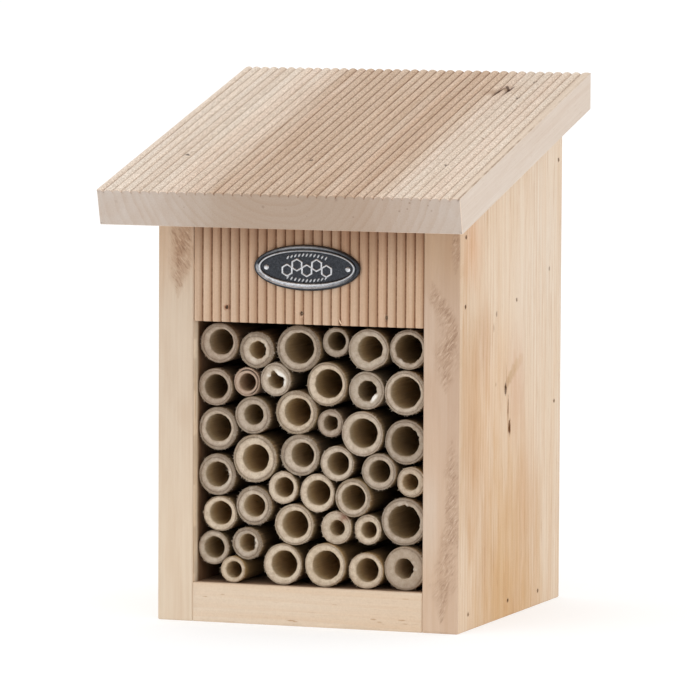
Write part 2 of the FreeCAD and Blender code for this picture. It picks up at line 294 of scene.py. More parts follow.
TORN_L = [(-1.0, -55.0, 0.1, 0.5), (130.0, -55.4, 0.1, 0.4), (135.0, -55.4, 2.0, 0.55), (140.0, -55.2, 3.6, 0.7), (146.0, -54.4, 4.8, 0.9),
          (152.0, -53.8, 4.8, 1.0), (160.0, -53.4, 4.8, 1.0), (168.0, -53.2, 4.4, 0.9), (210.0, -53.0, 2.0, 0.5)]


def torn_at(x, z, table, seed):
    mid, half, amp = lerp_table(z, table)
    if half < 0.15:
        return 0.0
    d = abs(x - mid) / half + 0.75 * fbm(x * 0.30 + seed, z * 0.13, 1.7, 3)
    return amp * float(1.0 - smoothstep(0.10, 1.45, d))


def torn(p, table, seed, lean):
    """Lifted and broken fibres, running at a slant across the edge."""
    q = p.copy()
    for i in np.nonzero(p[:, 1] < YF + 0.02)[0]:
        x, _, z = p[i]
        m = torn_at(x, z, table, seed)
        if m > 0.01:
            t = x * lean[0] + z * lean[1]
            n = x * lean[1] - z * lean[0]
            ridge = noise.noise(Vector((t * 0.95, n * 0.22, seed)))
            rough = fbm(x * 0.8 + seed, z * 0.5, 3.1, 3)
            q[i, 1] += max(-0.02, m * (0.06 + 0.12 * ridge + 0.16 * rough))
    return q


def torn_attr(ob, table, seed):
    """Keeps how torn the front edge is, for the surface's colour."""
    me = ob.data
    a = me.attributes.new("torn", "FLOAT", "POINT")
    vals = []
    for v in me.vertices:
        x, y, z = v.co * 1000.0
        vals.append(torn_at(x, z, table, seed) if y < YF + 0.8 else 0.0)
    a.data.foreach_set("value", vals)
    return ob


h_back = under_z(BODY_D)


def warp_right(p):
    return torn(side_top(p), TORN_R, 4.2, (0.78, -0.62))


def warp_left(p):
    return torn(side_top(p), TORN_L, 9.6, (0.72, -0.69))


pieces = {}
pieces["right_side_board"] = board(
    "board_right_side", (HALF_IN, YF, 0), (BODY_W / 2, YF + BODY_D, h_back),
    (0.62, 5.0, 1.0), 0.45, warp_right)
pieces["left_side_board"] = board(
    "board_left_side", (-BODY_W / 2, YF, 0), (-HALF_IN, YF + BODY_D, h_back),
    (0.62, 5.0, 1.0), 0.45, warp_left)
pieces["floor_board"] = board(
    "board_floor", (-HALF_IN, YF, 0), (HALF_IN, YF + BAY_D, FLOOR_T),
    (4.0, 5.0, 1.5), 0.40)
pieces["ceiling_board"] = board(
    "board_ceiling", (-HALF_IN, YF + BOARD_T, BAY_TOP), (HALF_IN, YF + BAY_D, BAY_TOP + BOARD_T),
    (6.0, 6.0, 3.0), 0.40)
pieces["back_board"] = board(
    "board_back", (-HALF_IN, YF + BAY_D, 0), (HALF_IN, YF + BODY_D, h_back),
    (5.0, 3.0, 5.0), 0.45, side_top)

carve(pieces["right_side_board"], [
    pit((BODY_W / 2, YF + y, z), (-1, 0, 0), (0, 0, 1), 0.86, 1.05, 0.60, i * 1.7 + 1)
    for i, (y, z) in enumerate(SIDE_NAILS)] + [
    # the open pith check and two short drying checks beside it
    pit((BODY_W / 2, YF + 57.9, 93.0), (-1, 0, 0), (0, 0.04, 1), 2.1, 1.30, 1.1, 21.0, n=18),
    pit((BODY_W / 2, YF + 63.0, 77.4), (-1, 0, 0), (0, 0.05, 1), 3.0, 1.35, 1.1, 23.0, n=18),
    pit((BODY_W / 2, YF + 61.0, 85.2), (-1, 0, 0), (0, 0.16, 1), 4.4, 0.28, 0.5, 25.0, n=16)])
carve(pieces["left_side_board"], [
    pit((-BODY_W / 2, YF + y, z), (1, 0, 0), (0, 0, 1), 0.86, 1.05, 0.60, i * 1.3 + 31)
    for i, (y, z) in enumerate(SIDE_NAILS_L)])
torn_attr(pieces["right_side_board"], TORN_R, 4.2)
torn_attr(pieces["left_side_board"], TORN_L, 9.6)


def tube_cut(r, y0, y1, x, z, n=48):
    a = [2 * math.pi * i / n for i in range(n)]
    v = [(x + r * math.cos(t), y0, z + r * math.sin(t)) for t in a]
    v += [(x + r * math.cos(t), y1, z + r * math.sin(t)) for t in a]
    f = [tuple(range(n)), tuple(range(2 * n - 1, n - 1, -1))]
    f += [(i, n + i, n + (i + 1) % n, (i + 1) % n) for i in range(n)]
    return v, f


def cone_cut(r0, r1, y0, y1, x, z, n=48):
    a = [2 * math.pi * (i + 0.5) / n for i in range(n)]
    v = [(x + r0 * math.cos(t), y0, z + r0 * math.sin(t)) for t in a]
    v += [(x + r1 * math.cos(t), y1, z + r1 * math.sin(t)) for t in a]
    f = [tuple(range(n)), tuple(range(2 * n - 1, n - 1, -1))]
    f += [(i, n + i, n + (i + 1) % n, (i + 1) % n) for i in range(n)]
    return v, f


carve(pieces["back_board"], [
    tube_cut(HANG_R, YF + BAY_D - 2, YF + BODY_D + 2, 0, HANG_Z)])
carve(pieces["back_board"], [
    cone_cut(HANG_R - 0.1, HANG_R + 0.9, YF + BODY_D - 0.45, YF + BODY_D + 0.55, 0, HANG_Z)])


# ---------------------------------------------------------------------------
# Reeded boards: a moulded section run along the grain
# ---------------------------------------------------------------------------
REED_T = np.array([0.0, 0.018, 0.06, 0.14, 0.26, 0.42, 0.58, 0.74, 0.86, 0.94, 0.982])


def reeded(name, grooves, x0, x1, rows, depth, power, fall, thick, place, seed,
           round_end=(True, True), tear=None, rim=None):
    """A board with rounded ribs. rows are distances along the run; place(x, h, s)
    gives the point for height h over the crest plane; h is 0 on the crests."""
    bounds = [x0] + list(grooves) + [x1]
    X, T, RI = [], [], []
    for i in range(len(bounds) - 1):
        a, b = bounds[i], bounds[i + 1]
        for t in REED_T:
            X.append(a + (b - a) * t)
            T.append(2 * t - 1)
            RI.append(i)
    X.append(x1)
    T.append(1.0)
    RI.append(len(bounds) - 2)
    X, T, RI = np.array(X), np.array(T), np.array(RI)
    w = np.array([bounds[i + 1] - bounds[i] for i in RI])
    prof = (1 - np.abs(T) ** power) ** fall - 1.0        # 0 on the crest, -1 in the groove
    # the outermost half ribs end in the board's arris, not in a groove
    first, last = RI == 0, RI == RI.max()
    if round_end[0]:
        prof = np.where(first & (T < 0.1), np.maximum(prof, -0.22 * (1 - (T + 1) / 1.1) ** 3), prof)
    if round_end[1]:
        prof = np.where(last & (T > -0.1), np.maximum(prof, -0.22 * (1 - (1 - T) / 1.1) ** 3), prof)
    groove = np.clip((-prof - 0.30) / 0.70, 0, 1)
    nt = len(X)
    rnd = 0.42
    corner = [math.radians(a) for a in (20, 45, 70)]
    loops, gro, section, fla, own = [], [], [], [], []
    shade = np.random.default_rng(int(seed * 10)).uniform(0, 1, len(bounds))
    L = rows[-1]
    for s in rows:
        top = []
        ends = min(s, L - s)
        ease = 0.34 * max(0.0, 1 - ends / 0.55) ** 2
        for j in range(nt):
            dj = depth * (1 + 0.10 * noise.noise(Vector((RI[j] * 7.3, seed, 0.0)))
                          + 0.06 * noise.noise(Vector((RI[j] * 3.1, s * 0.03, seed))))
            wander = 0.07 * noise.noise(Vector((RI[j] * 1.7 + seed, s * 0.045, 2.0)))
            h = prof[j] * dj + 0.025 * noise.noise(Vector((X[j] * 0.9, s * 0.16, seed + 5)))
            if ends < 1.4:
                chip = fbm(X[j] * 0.8, seed + (0 if s < L / 2 else 40), 1.0, 2)
                h -= 0.32 * max(0.0, chip - 0.05) * (1 - ends / 1.4)
            h -= ease
            if tear is not None:
                h -= tear(X[j], s, prof[j])
            if rim is not None and last[j] and 0.6 < T[j] < 0.98:
                h -= 0.10 * rim(s)
            top.append((X[j] + wander * (0 if j in (0, nt - 1) else 1), min(0.0, h)))
        ins = ease * 0.8
        right = [(x1 - ins - rnd * (1 - math.sin(c)) * 0.0, top[-1][1] - 1.2) for c in corner[:1]]
        lo_r = [(x1 - ins, -thick + rnd)]
        lo_r += [(x1 - ins - rnd * (1 - math.cos(c)), -thick + ins + rnd * (1 - math.sin(c))) for c in corner]
        nb = 14
        bot = [(x1 - rnd + (x0 + rnd - (x1 - rnd)) * i / nb, -thick + ins) for i in range(nb + 1)]
        lo_l = [(x0 + ins + rnd * (1 - math.cos(c)), -thick + ins + rnd * (1 - math.sin(c))) for c in corner[::-1]]
        lo_l += [(x0 + ins, -thick + rnd)]
        left = [(x0 + ins, top[0][1] - 1.2)]
        top[0] = (x0 + ins + 0.16, top[0][1])
        top[-1] = (x1 - ins - 0.16, top[-1][1])
        top.insert(0, (x0 + ins, top[0][1] - 0.22))
        top.append((x1 - ins, top[-1][1] - 0.22))
        loop = top + right + lo_r + bot + lo_l + left
        section.append(loop)
        loops.append([place(x, h, s) for x, h in loop])
        g = groove
        if rim is not None:
            g = np.where(last & (T > 0.6), np.interp(T, (0.6, 0.72, 0.88, 0.97, 1.0), (0.2, 0.75, 1.0, 0.6, 0.1)) * rim(s), g)
        g = np.concatenate([[0], g, [0], np.zeros(len(loop) - nt - 2)])
        gro.append(g)
        fla.append(np.concatenate([[0], T, [0], np.zeros(len(loop) - nt - 2)]))
        own.append(np.concatenate([[0.5], shade[RI], [0.5], np.full(len(loop) - nt - 2, 0.5)]))
    m = len(loops[0])
    verts = np.array([p for lp in loops for p in lp])
    faces = []
    for r in range(len(rows) - 1):
        for i in range(m):
            a, b = r * m + i, r * m + (i + 1) % m
            faces.append((a, b, b + m, a + m))
    inner = []
    for r, s in ((0, rows[0]), (len(rows) - 1, rows[-1])):
        pts = []
        xm, fx, fh = (x0 + x1) / 2, 1 - 1.8 / (x1 - x0), 1 - 1.8 / thick
        for x, h in section[r]:
            pts.append(place(xm + (x - xm) * fx, (h + thick / 2) * fh - thick / 2, s))
        inner.append(pts)
    base = len(verts)
    verts = np.vstack([verts, np.array(inner[0]), np.array(inner[1])])
    gro += [np.zeros(m), np.zeros(m)]
    fla += [np.zeros(m), np.zeros(m)]
    own += [np.full(m, 0.5), np.full(m, 0.5)]
    end = (len(rows) - 1) * m
    for i in range(m):
        j = (i + 1) % m
        faces.append((j, i, base + i, base + j))
        faces.append((end + i, end + j, base + m + j, base + m + i))
    faces.append(tuple(base + i for i in range(m - 1, -1, -1)))
    faces.append(tuple(base + m + i for i in range(m)))
    ob = make(name, verts, faces, attrs={"groove": np.concatenate(gro), "painted_flank_shade": np.concatenate(fla), "own": np.concatenate(own)})
    bm = bmesh.new()
    bm.from_mesh(ob.data)
    bmesh.ops.remove_doubles(bm, verts=bm.verts, dist=2e-6)
    bmesh.ops.triangulate(bm, faces=[f for f in bm.faces if len(f.verts) > 4], ngon_method="BEAUTY")
    bm.to_mesh(ob.data)
    bm.free()
    return ob


ends = [0, 0.10, 0.25, 0.5, 0.9, 1.5]

# Roof: run from the front end back up the slope; the back end is cut plumb
TOP_FRONT = Vector((0, YF - ROOF_FRONT, under_z(-ROOF_FRONT) + ROOF_T / COS))
NORMAL = Vector((0, -SIN, COS))
RUN = Vector((0, COS, SIN))
ROOF_L = (BODY_D + ROOF_FRONT) / COS


def place_roof(x, h, s):
    # a plumb back end: the run shortens or stretches with height near the back
    y_full = TOP_FRONT.y + COS * s - SIN * h
    k = smoothstep(ROOF_L - 12.0, ROOF_L, s)
    want = YF + BODY_D - (ROOF_L - s) * COS
    y = y_full + (want - y_full) * k
    z = TOP_FRONT.z + COS * h + SIN * s + (y - y_full) * TAN
    return (x, y, z)


# the torn rim of the roof's knot: from, to (across, along the run), half width, depth, darkness
KNOT_RIM = (((45.0, 137.6), (45.0, 141.5), 1.0, 0.25, 0.65), ((45.0, 141.0), (45.2, 145.4), 1.35, 0.60, 1.0),
            ((46.6, 149.9), (48.9, 146.2), 1.15, 0.50, 0.9), ((48.9, 147.0), (48.9, 143.6), 1.4, 0.65, 0.9),
            ((48.9, 144.0), (48.8, 140.0), 1.0, 0.25, 0.65), ((48.9, 146.2), (49.6, 148.8), 1.0, 0.35, 0.85),
            ((45.2, 145.4), (46.8, 147.4), 0.9, 0.20, 0.45))


def roof_tear(x, s, prof):
    """A torn knot near the back, and a rib broken down along the right edge."""
    d = 0.0
    if 40.0 < x < 54.0 and 134.0 < s < 154.0:
        for (x0, s0), (x1, s1), w, deep, _ in KNOT_RIM:
            t = min(1.0, max(0.0, ((x - x0) * (x1 - x0) + (s - s0) * (s1 - s0)) / ((x1 - x0) ** 2 + (s1 - s0) ** 2)))
            m = 1 - math.hypot(x - x0 - t * (x1 - x0), s - s0 - t * (s1 - s0)) / (w * 1.25)
            if m > 0:
                d = max(d, deep * min(1.0, m * 1.7) * (0.8 + 0.5 * fbm(x * 0.8, s * 0.8, 2.2, 2)))
        m = 1 - ((x - 46.9) / 2.3) ** 2 - ((s - 146.2) / 3.0) ** 2
        if m > 0:
            d = max(d, 0.22 * min(1.0, m * 1.6))
    if x > 71.2:
        d += 0.22 * max(0.0, fbm(s * 0.06, 3.3, 1.0, 2) + 0.12) * smoothstep(71.2, 72.4, x) * (1 if prof > -0.5 else 0.2)
    return d


def roof_rim(s):
    """The right arris: a dark line that breaks up towards the back."""
    return min(1.0, max(0.0, (0.95 - 0.65 * float(smoothstep(72.0, 112.0, s)))
                        * (0.75 + 1.1 * noise.noise(Vector((s * 0.19, 6.1, 2.7))))))


rows = ends + list(np.linspace(2.5, 126.0, 84)) + list(np.linspace(128.0, 152.0, 40)) \
    + list(np.linspace(154.0, ROOF_L - 2.0, 7)) + [ROOF_L - e for e in ends[::-1]]
grooves = [ROOF_G0 + ROOF_P * i for i in range(ROOF_N)]
pieces["roof_board"] = reeded(
    "board_roof", grooves, -ROOF_HALF, ROOF_HALF, rows, REED_D, 2.0, 0.78, ROOF_T,
    place_roof, 3.0, tear=roof_tear, rim=roof_rim)
carve(pieces["roof_board"], [
    pit((x, YF + y, under_z(y) + (ROOF_T - 0.35) / COS), -NORMAL, RUN, 0.95, 0.85, 0.6, i * 2.1 + 51)
    for i, (x, y) in enumerate(ROOF_NAILS)])


# Front board: reeds upright, lower end square, upper end under the roof
def place_front(x, h, s):
    y = -h
    top = under_z(y)
    full = under_z(0) - BAY_TOP
    z = BAY_TOP + s * (top - BAY_TOP) / full
    return (x, YF + y, z)


rows = ends + list(np.linspace(2.4, 45.0, 30)) + [under_z(0) - BAY_TOP - e for e in ends[::-1]]
grooves = [-HALF_IN + REED_P * i for i in range(1, 25)]
pieces["front_board"] = reeded(
    "board_front", grooves, -HALF_IN + 0.03, HALF_IN - 0.03, rows, REED_D, 2.6, 0.95, BOARD_T,
    place_front, 8.0, round_end=(False, False))
carve(pieces["front_board"], [
    pit((x, YF + 0.35, z), (0, 1, 0), (0.0, 0, 1), 0.95, 0.66, 0.7, i * 2.9 + 71)
    for i, (x, z) in enumerate(FRONT_NAILS)] + [
    pit((13.5, YF + 0.45, BAY_TOP + 1.5), (0, 1, 0), (-0.45, 0, 0.9), 1.0, 0.50, 0.6, 83.0)])


def splinter(ob, root, tip, width, thick):
    """A sliver lifted out of a board: thin, pointed, bowed away from the face."""
    root, tip = Vector(root), Vector(tip)
    d = (tip - root).normalized()
    across = d.cross(Vector((0, 1, 0))).normalized()
    out = across.cross(d).normalized()
    bm = bmesh.new()
    bm.from_mesh(ob.data)
    own = bm.verts.layers.float.get("own")
    rings = []
    for i in range(9):
        t = i / 8
        w = width * (0.22 + 0.78 * math.sin(math.pi * (0.08 + 0.84 * t)) ** 0.8) * (1 if i < 8 else 0.45)
        c = root.lerp(tip, t) + Vector((0, -0.22 * math.sin(math.pi * t), 0)) + across * 0.05 * noise.noise(Vector((t * 4, 1.0, 6.0)))
        ring = []
        for q in range(8):
            r = 2 * math.pi * q / 8
            vert = bm.verts.new((c + across * (w / 2 * math.cos(r)) + out * (thick / 2 * math.sin(r))) * 0.001)
            if own is not None:
                vert[own] = 0.5
            ring.append(vert)
        rings.append(ring)
    for r0, r1 in zip(rings, rings[1:]):
        for q in range(8):
            bm.faces.new((r0[q], r0[(q + 1) % 8], r1[(q + 1) % 8], r1[q]))
    bm.faces.new(rings[0][::-1])
    bm.faces.new(rings[-1])
    bm.to_mesh(ob.data)
    bm.free()
    ob.data.update()


splinter(pieces["front_board"], (13.05, YF + 0.45, BAY_TOP + 2.85), (14.62, YF - 0.75, BAY_TOP + 0.70), 0.62, 0.24)


# ---------------------------------------------------------------------------
# Bamboo canes
# ---------------------------------------------------------------------------
NA = 88
ANG = np.linspace(0, 2 * math.pi, NA, endpoint=False)
CA, SA = np.cos(ANG), np.sin(ANG)

# how the cut ends differ: amount of torn inner edge, oval stretch upright,
# wall skew, flat side (angle, amount), warmth, skin darkness
LOOK = {
    9: dict(grey=0.2), 11: dict(grey=0.3, rough=1.0),
    5: dict(flat=(-1.05, 0.075)), 8: dict(pink=0.9, lip=0.8), 16: dict(jag=0.08, pink=0.2),
    14: dict(jag=0.06), 19: dict(jag=0.05), 24: dict(splint=0.35), 35: dict(splint=-0.1, jag=0.05),
    32: dict(stain=0.9, jag=0.05), 33: dict(jag=0.06), 36: dict(warm=0.55), 40: dict(jag=0.06, grey=0.40, warm=0.25, pink=0.2),
    23: dict(warm=0.4, jag=0.04), 18: dict(jag=0.04), 27: dict(warm=0.2), 38: dict(warm=0.3),
    39: dict(warm=0.35), 20: dict(grey=0.2), 1: dict(pink=0.2), 7: dict(pink=0.2), 13: dict(grey=0.2),
}
OVAL = [0.0, 0.0, 0.0, 0.2, -0.1, 0.0, 0.2, 0.25, 0.2, 0.35, 0.1, 0.05, 0.4, -0.05, 0.05, 0.15, 0.3,
        0.1, 0.35, 0.0, 0.0, 0.0, 0.05, 0.4, 0.4, 0.45, 0.2, 0.05, -0.2, 0.2, -0.05, 0.2, 0.45, 0.3,
        0.05, 0.05, 0.15, 0.2, -0.05, 0.1]


# torn bores, as (degrees, share of the bore's radius, whiteness of the skin there)
BORE = {
    9: [(0, 0.90, 0.6), (14, 0.80, 0.8), (28, 0.64, 1.0), (45, 0.52, 1.0), (62, 0.47, 1.0), (80, 0.52, 1.0), (94, 0.66, 0.7),
        (104, 0.92, 0.1), (115, 1.06, 0), (130, 1.02, 0), (142, 0.86, 0.3), (152, 0.74, 0.8), (163, 0.86, 0.3), (176, 0.98, 0),
        (200, 1.0, 0), (240, 1.0, 0), (285, 1.02, 0), (315, 1.0, 0.2), (332, 0.93, 0.8), (346, 0.86, 1.0)],
    11: [(0, 1.02, 0), (12, 0.95, 0.3), (22, 1.03, 0), (40, 0.98, 0.1), (60, 1.03, 0), (80, 0.99, 0), (100, 1.0, 0), (125, 0.97, 0),
         (150, 0.94, 0), (180, 0.92, 0), (205, 0.95, 0), (230, 1.0, 0), (250, 1.05, 0.1), (265, 0.98, 0.3), (280, 1.07, 0),
         (295, 0.95, 0.6), (308, 0.83, 1.0), (322, 0.79, 1.0), (335, 0.87, 0.9), (347, 0.98, 0.3)],
    2: [(0, 0.98, 0.2), (15, 1.04, 0), (28, 0.94, 0.4), (42, 1.05, 0), (58, 0.97, 0.2), (80, 1.0, 0), (92, 1.08, 0), (105, 0.97, 0.1),
        (130, 1.0, 0), (180, 1.0, 0), (215, 0.97, 0.2), (240, 0.91, 0.4), (258, 0.94, 0.3), (275, 0.98, 0.1), (300, 1.0, 0),
        (320, 0.96, 0.2), (335, 1.03, 0), (348, 0.94, 0.3)],
    40: [(0, 0.90, 0.3), (18, 1.0, 0), (35, 0.92, 0.2), (60, 1.0, 0), (180, 1.03, 0), (300, 1.0, 0), (330, 0.90, 0.2), (345, 1.0, 0)],
    35: [(0, 0.92, 0.3), (20, 0.84, 0.5), (40, 1.0, 0), (180, 1.02, 0), (320, 1.0, 0), (342, 0.86, 0.4)],
    28: [(0, 1.0, 0), (70, 1.0, 0), (82, 0.93, 0.4), (90, 1.03, 0), (104, 0.94, 0.3), (116, 1.0, 0), (250, 1.0, 0)],
    16: [(0, 0.96, 0), (40, 1.05, 0), (70, 0.90, 0.2), (110, 1.02, 0), (180, 0.94, 0), (230, 1.04, 0), (290, 0.92, 0.2), (330, 1.04, 0)],
    6: [(0, 1.0, 0), (215, 1.0, 0), (232, 0.93, 0.4), (250, 0.96, 0.3), (265, 1.0, 0)],
    18: [(0, 0.98, 0.1), (15, 1.02, 0), (28, 0.96, 0.2), (40, 1.0, 0), (200, 1.0, 0)],
    24: [(0, 0.98, 0.1), (14, 0.93, 0.5), (30, 1.0, 0), (180, 1.0, 0), (345, 0.96, 0.3)],
}


# dull and pale canes, and where the cream of the wall gives way to the grey skin side
DULL = (1, 4, 7, 16, 18, 28)
DIM = (3, 6, 14, 22, 24, 40)
PALE = (10, 15, 19, 25, 26, 29, 31, 32, 33, 36, 37, 38, 39)
EARLY = (1, 2, 3, 8, 12, 13, 15, 20, 24, 27, 30, 35)
LATE = (5, 9, 10, 11, 16, 17, 21, 23, 33)
EDGE = (4, 25, 26, 29, 32, 34, 36, 37, 38, 39, 40)
DARK_SKIN = (2, 3, 10, 13, 15, 19, 20, 27, 29, 30, 35, 40)
PALE_SKIN = (4, 17, 23, 25, 26, 32, 33, 36, 39)
PLAIN = (4, 5, 7, 8, 11, 16, 18, 32, 34, 35, 40)
# canes whose bores are painted darker (painted shade) and lighter (painted light)
SHADED_BORES = (4, 6, 7, 8, 10, 11)
LIT = (2, 9, 23, 24, 30, 35, 40)


def cane(i):
    x, z, R, r, ex, ez, rec, L = TUBES[i - 1]
    look = LOOK.get(i, {})
    sd = i * 11.37
    y0 = YF + rec
    depth = L - END_WALL
    # outer outline: within the cane's own round, a little oval and uneven
    oval = OVAL[i - 1]
    out = np.array([R + 0.10
                    - abs(oval) * (0.5 - 0.5 * (c * c - s * s) * (-1 if oval > 0 else 1))
                    + 0.10 * noise.noise(Vector((c * 1.1 + sd, s * 1.1, 0.3)))
                    + 0.05 * noise.noise(Vector((c * 3.0, s * 3.0 + sd, 1.3)))
                    for c, s in zip(CA, SA)])
    if "flat" in look:
        fa, fm = look["flat"]
        cs = np.cos(ANG - fa)
        out = np.where(cs > 0.80, np.minimum(out, R * (1 - fm * 0.45) / np.maximum(cs, 0.5) * 0.97), out)
    out = np.minimum(out, R + 0.13)
    inn = np.array([r + 0.09 * r / 5 * noise.noise(Vector((c * 1.4, s * 1.4 + sd, 4.4)))
                    + 0.03 * noise.noise(Vector((c * 4.0 + sd, s * 4.0, 6.4)))
                    for c, s in zip(CA, SA)])
    if "flat" in look:
        cs = np.cos(ANG - look["flat"][0])
        inn = np.where(cs > 0.72, np.minimum(inn, r * 0.90 / np.maximum(cs, 0.5) * 0.96), inn)
    white = np.zeros(NA)
    if i in BORE:
        t = sorted(BORE[i])
        deg = np.array([q[0] for q in t] + [t[0][0] + 360.0])
        at = np.degrees(ANG) + 7.0 * np.array([noise.noise(Vector((c * 3 + sd, s * 3, 8.2))) for c, s in zip(CA, SA)])
        at = at % 360.0
        j = np.clip(np.searchsorted(deg, at, side="right") - 1, 0, len(deg) - 2)
        e = smoothstep(0.0, 1.0, (at - deg[j]) / (deg[j + 1] - deg[j]))
        m1 = np.array([q[1] for q in t] + [t[0][1]])
        w1 = np.array([q[2] for q in t] + [t[0][2]])
        mul = m1[j] + (m1[j + 1] - m1[j]) * e
        white = w1[j] + (w1[j + 1] - w1[j]) * e
        mul = mul + np.array([0.035 * noise.noise(Vector((c * 8 + sd, s * 8, 2.2))) for c, s in zip(CA, SA)])
        wide = 1.04
    else:
        mul, wide = np.ones(NA), 1.0
    cut = inn * (1.0 - np.minimum(mul, 1.02)) * 1.0
    jag = 0.03 if i not in BORE else 0.035
    tooth = np.array([max(0.0, 0.30 + 1.1 * noise.noise(Vector((c * 2.6 + sd, s * 2.6, 9.1)))
                          + 0.8 * noise.noise(Vector((c * 7.5, s * 7.5 + sd, 3.7)))
                          + 0.35 * noise.noise(Vector((c * 17.0, s * 17.0 + sd, 5.1))))
                      for c, s in zip(CA, SA)]) * jag * r + np.maximum(cut, -0.02 * r)
    burr = np.array([0.045 * noise.noise(Vector((c * 9 + sd, s * 9, 2.0)))
                     + (0.045 + 0.05 * max(0.0, -c * 0.8 - s * 0.6)) * noise.noise(Vector((c * 24, s * 24 + sd, 7.0)))
                     for c, s in zip(CA, SA)])
    tilt_x = 0.012 * noise.noise(Vector((sd, 1.5, 2.5)))
    tilt_z = 0.012 * noise.noise(Vector((sd, 4.5, 6.5)))
    ring, attr = [], []

    def add(rad, s, cx, cz, rf, zone, mem=None, split_shade=0.0):
        """One ring of points: radius, distance behind the cut end."""
        px = x + cx + rad * CA
        pz = z + cz + rad * SA
        s = np.broadcast_to(np.asarray(s, float), (NA,))
        face = np.where(s < 6.0, tilt_x * (px - x) + tilt_z * (pz - z), 0.0) * (1 - np.clip(s / 6.0, 0, 1))
        ring.append(np.column_stack([px, y0 + np.maximum(s + face + 0.12, 0.0), pz]))
        rf = np.broadcast_to(np.asarray(rf, float), (NA,))
        attr.append((rf, zone, s, np.zeros(NA) if mem is None else mem, np.broadcast_to(np.asarray(split_shade, float), (NA,))))

    def sawn(rad):
        """Relief of the sawn face: slanting kerf marks and open pores."""
        px, pz = rad * CA, rad * SA
        return np.array([0.035 * math.sin((a * 0.83 + b * 0.56) * 5.2 + i)
                         + 0.05 * noise.noise(Vector((a * 1.6 + sd, b * 1.6, 1.0)))
                         + 0.05 * noise.noise(Vector((a * 5.2 + sd, b * 5.2, 3.0))) for a, b in zip(px, pz)])

    ridge = lambda s: 0.10 * math.exp(-((s - (L - 7.0)) / 1.1) ** 2) - 0.16 * math.exp(-((s - (L - 9.0)) / 0.7) ** 2)
    # back end, then the skin to the front
    for k, f in ((0.0, 0.02), (0.5, 0.4), (0.9, 0.8)):
        add(np.maximum(out * f, 0.05), L - 0.15, 0, 0, f, 3.0)
    add(out - 0.30, L - 0.12, 0, 0, 1.0, 3.0)
    add(out - 0.06, L - 0.32, 0, 0, 1.0, 0.0)
    for s in (L - 2.5, L - 5, L - 6, L - 7, L - 8, L - 8.6, L - 9, L - 9.6, L - 11, L - 16,
              L * 0.75, L * 0.6, L * 0.45, L * 0.3, 20, 12, 7, 4, 2.2, 1.2, 0.7):
        warp = 0.05 * np.array([noise.noise(Vector((c * 1.2 + sd, q * 1.2, s * 0.05))) for c, q in zip(CA, SA)])
        add(np.minimum(out + ridge(s) + warp * (1 if s > 2 else 0.3), R + 0.14), s, 0, 0, 1.0, 0.0)
    add(np.minimum(out - 0.02 + burr * 0.5, R + 0.13), 0.34, 0, 0, 1.0, 0.2)
    add(np.minimum(out - 0.09 + burr, R + 0.13), 0.14 + np.abs(burr), 0, 0, 0.985, 0.6)
    # sawn face from skin to bore
    wall_f = (0.955, 0.91, 0.86, 0.81, 0.775, 0.755, 0.735, 0.715, 0.68, 0.62, 0.54, 0.45, 0.36, 0.27, 0.19, 0.12, 0.06, 0.02)
    line_at = 0.735 + 0.03 * noise.noise(Vector((sd, 8.8, 1.1)))
    split = look.get("lip", 0.0) * smoothstep(-0.35, 0.25, np.cos(ANG - 0.45))
    split_at = 0.48 if i in EARLY else 0.74 if i in LATE else 0.90 if i in EDGE else 0.62
    wave = np.array([0.10 * math.cos(t - 3.9) + 0.10 * noise.noise(Vector((c * 1.3 + sd, q * 1.3, 5.7)))
                     + 0.05 * noise.noise(Vector((c * 4.0, q * 4.0 + sd, 2.9))) for t, c, q in zip(ANG, CA, SA)])
    for f in wall_f:
        cx, cz = ex * (1 - f), ez * (1 - f)
        seen = np.clip(f + (0.62 - split_at - wave) * 4.0 * f * (1 - f), 0, 1)
        edge_in = inn + 0.22 - tooth
        rad = edge_in + (out - 0.12 - edge_in) * f
        skin = 0.20 * np.exp(-((seen - line_at) / 0.030) ** 2) + 0.09 * float(smoothstep(0.72, 0.84, f)) \
            + 0.10 * max(0.0, f - 0.93) / 0.07
        lip = 0.34 * max(0.0, 1 - f / 0.20) ** 2
        extra = split * 3.0 * math.exp(-((f - 0.58) / 0.09) ** 2)
        add(rad, sawn(rad) * (0.4 + 0.6 * min(1, f * 4)) + skin + lip + extra, cx, cz, seen, 1.0,
            white * 1.6 * (1.0 - float(smoothstep(0.20, 0.55, f))), split * math.exp(-((f - 0.58) / 0.085) ** 2))
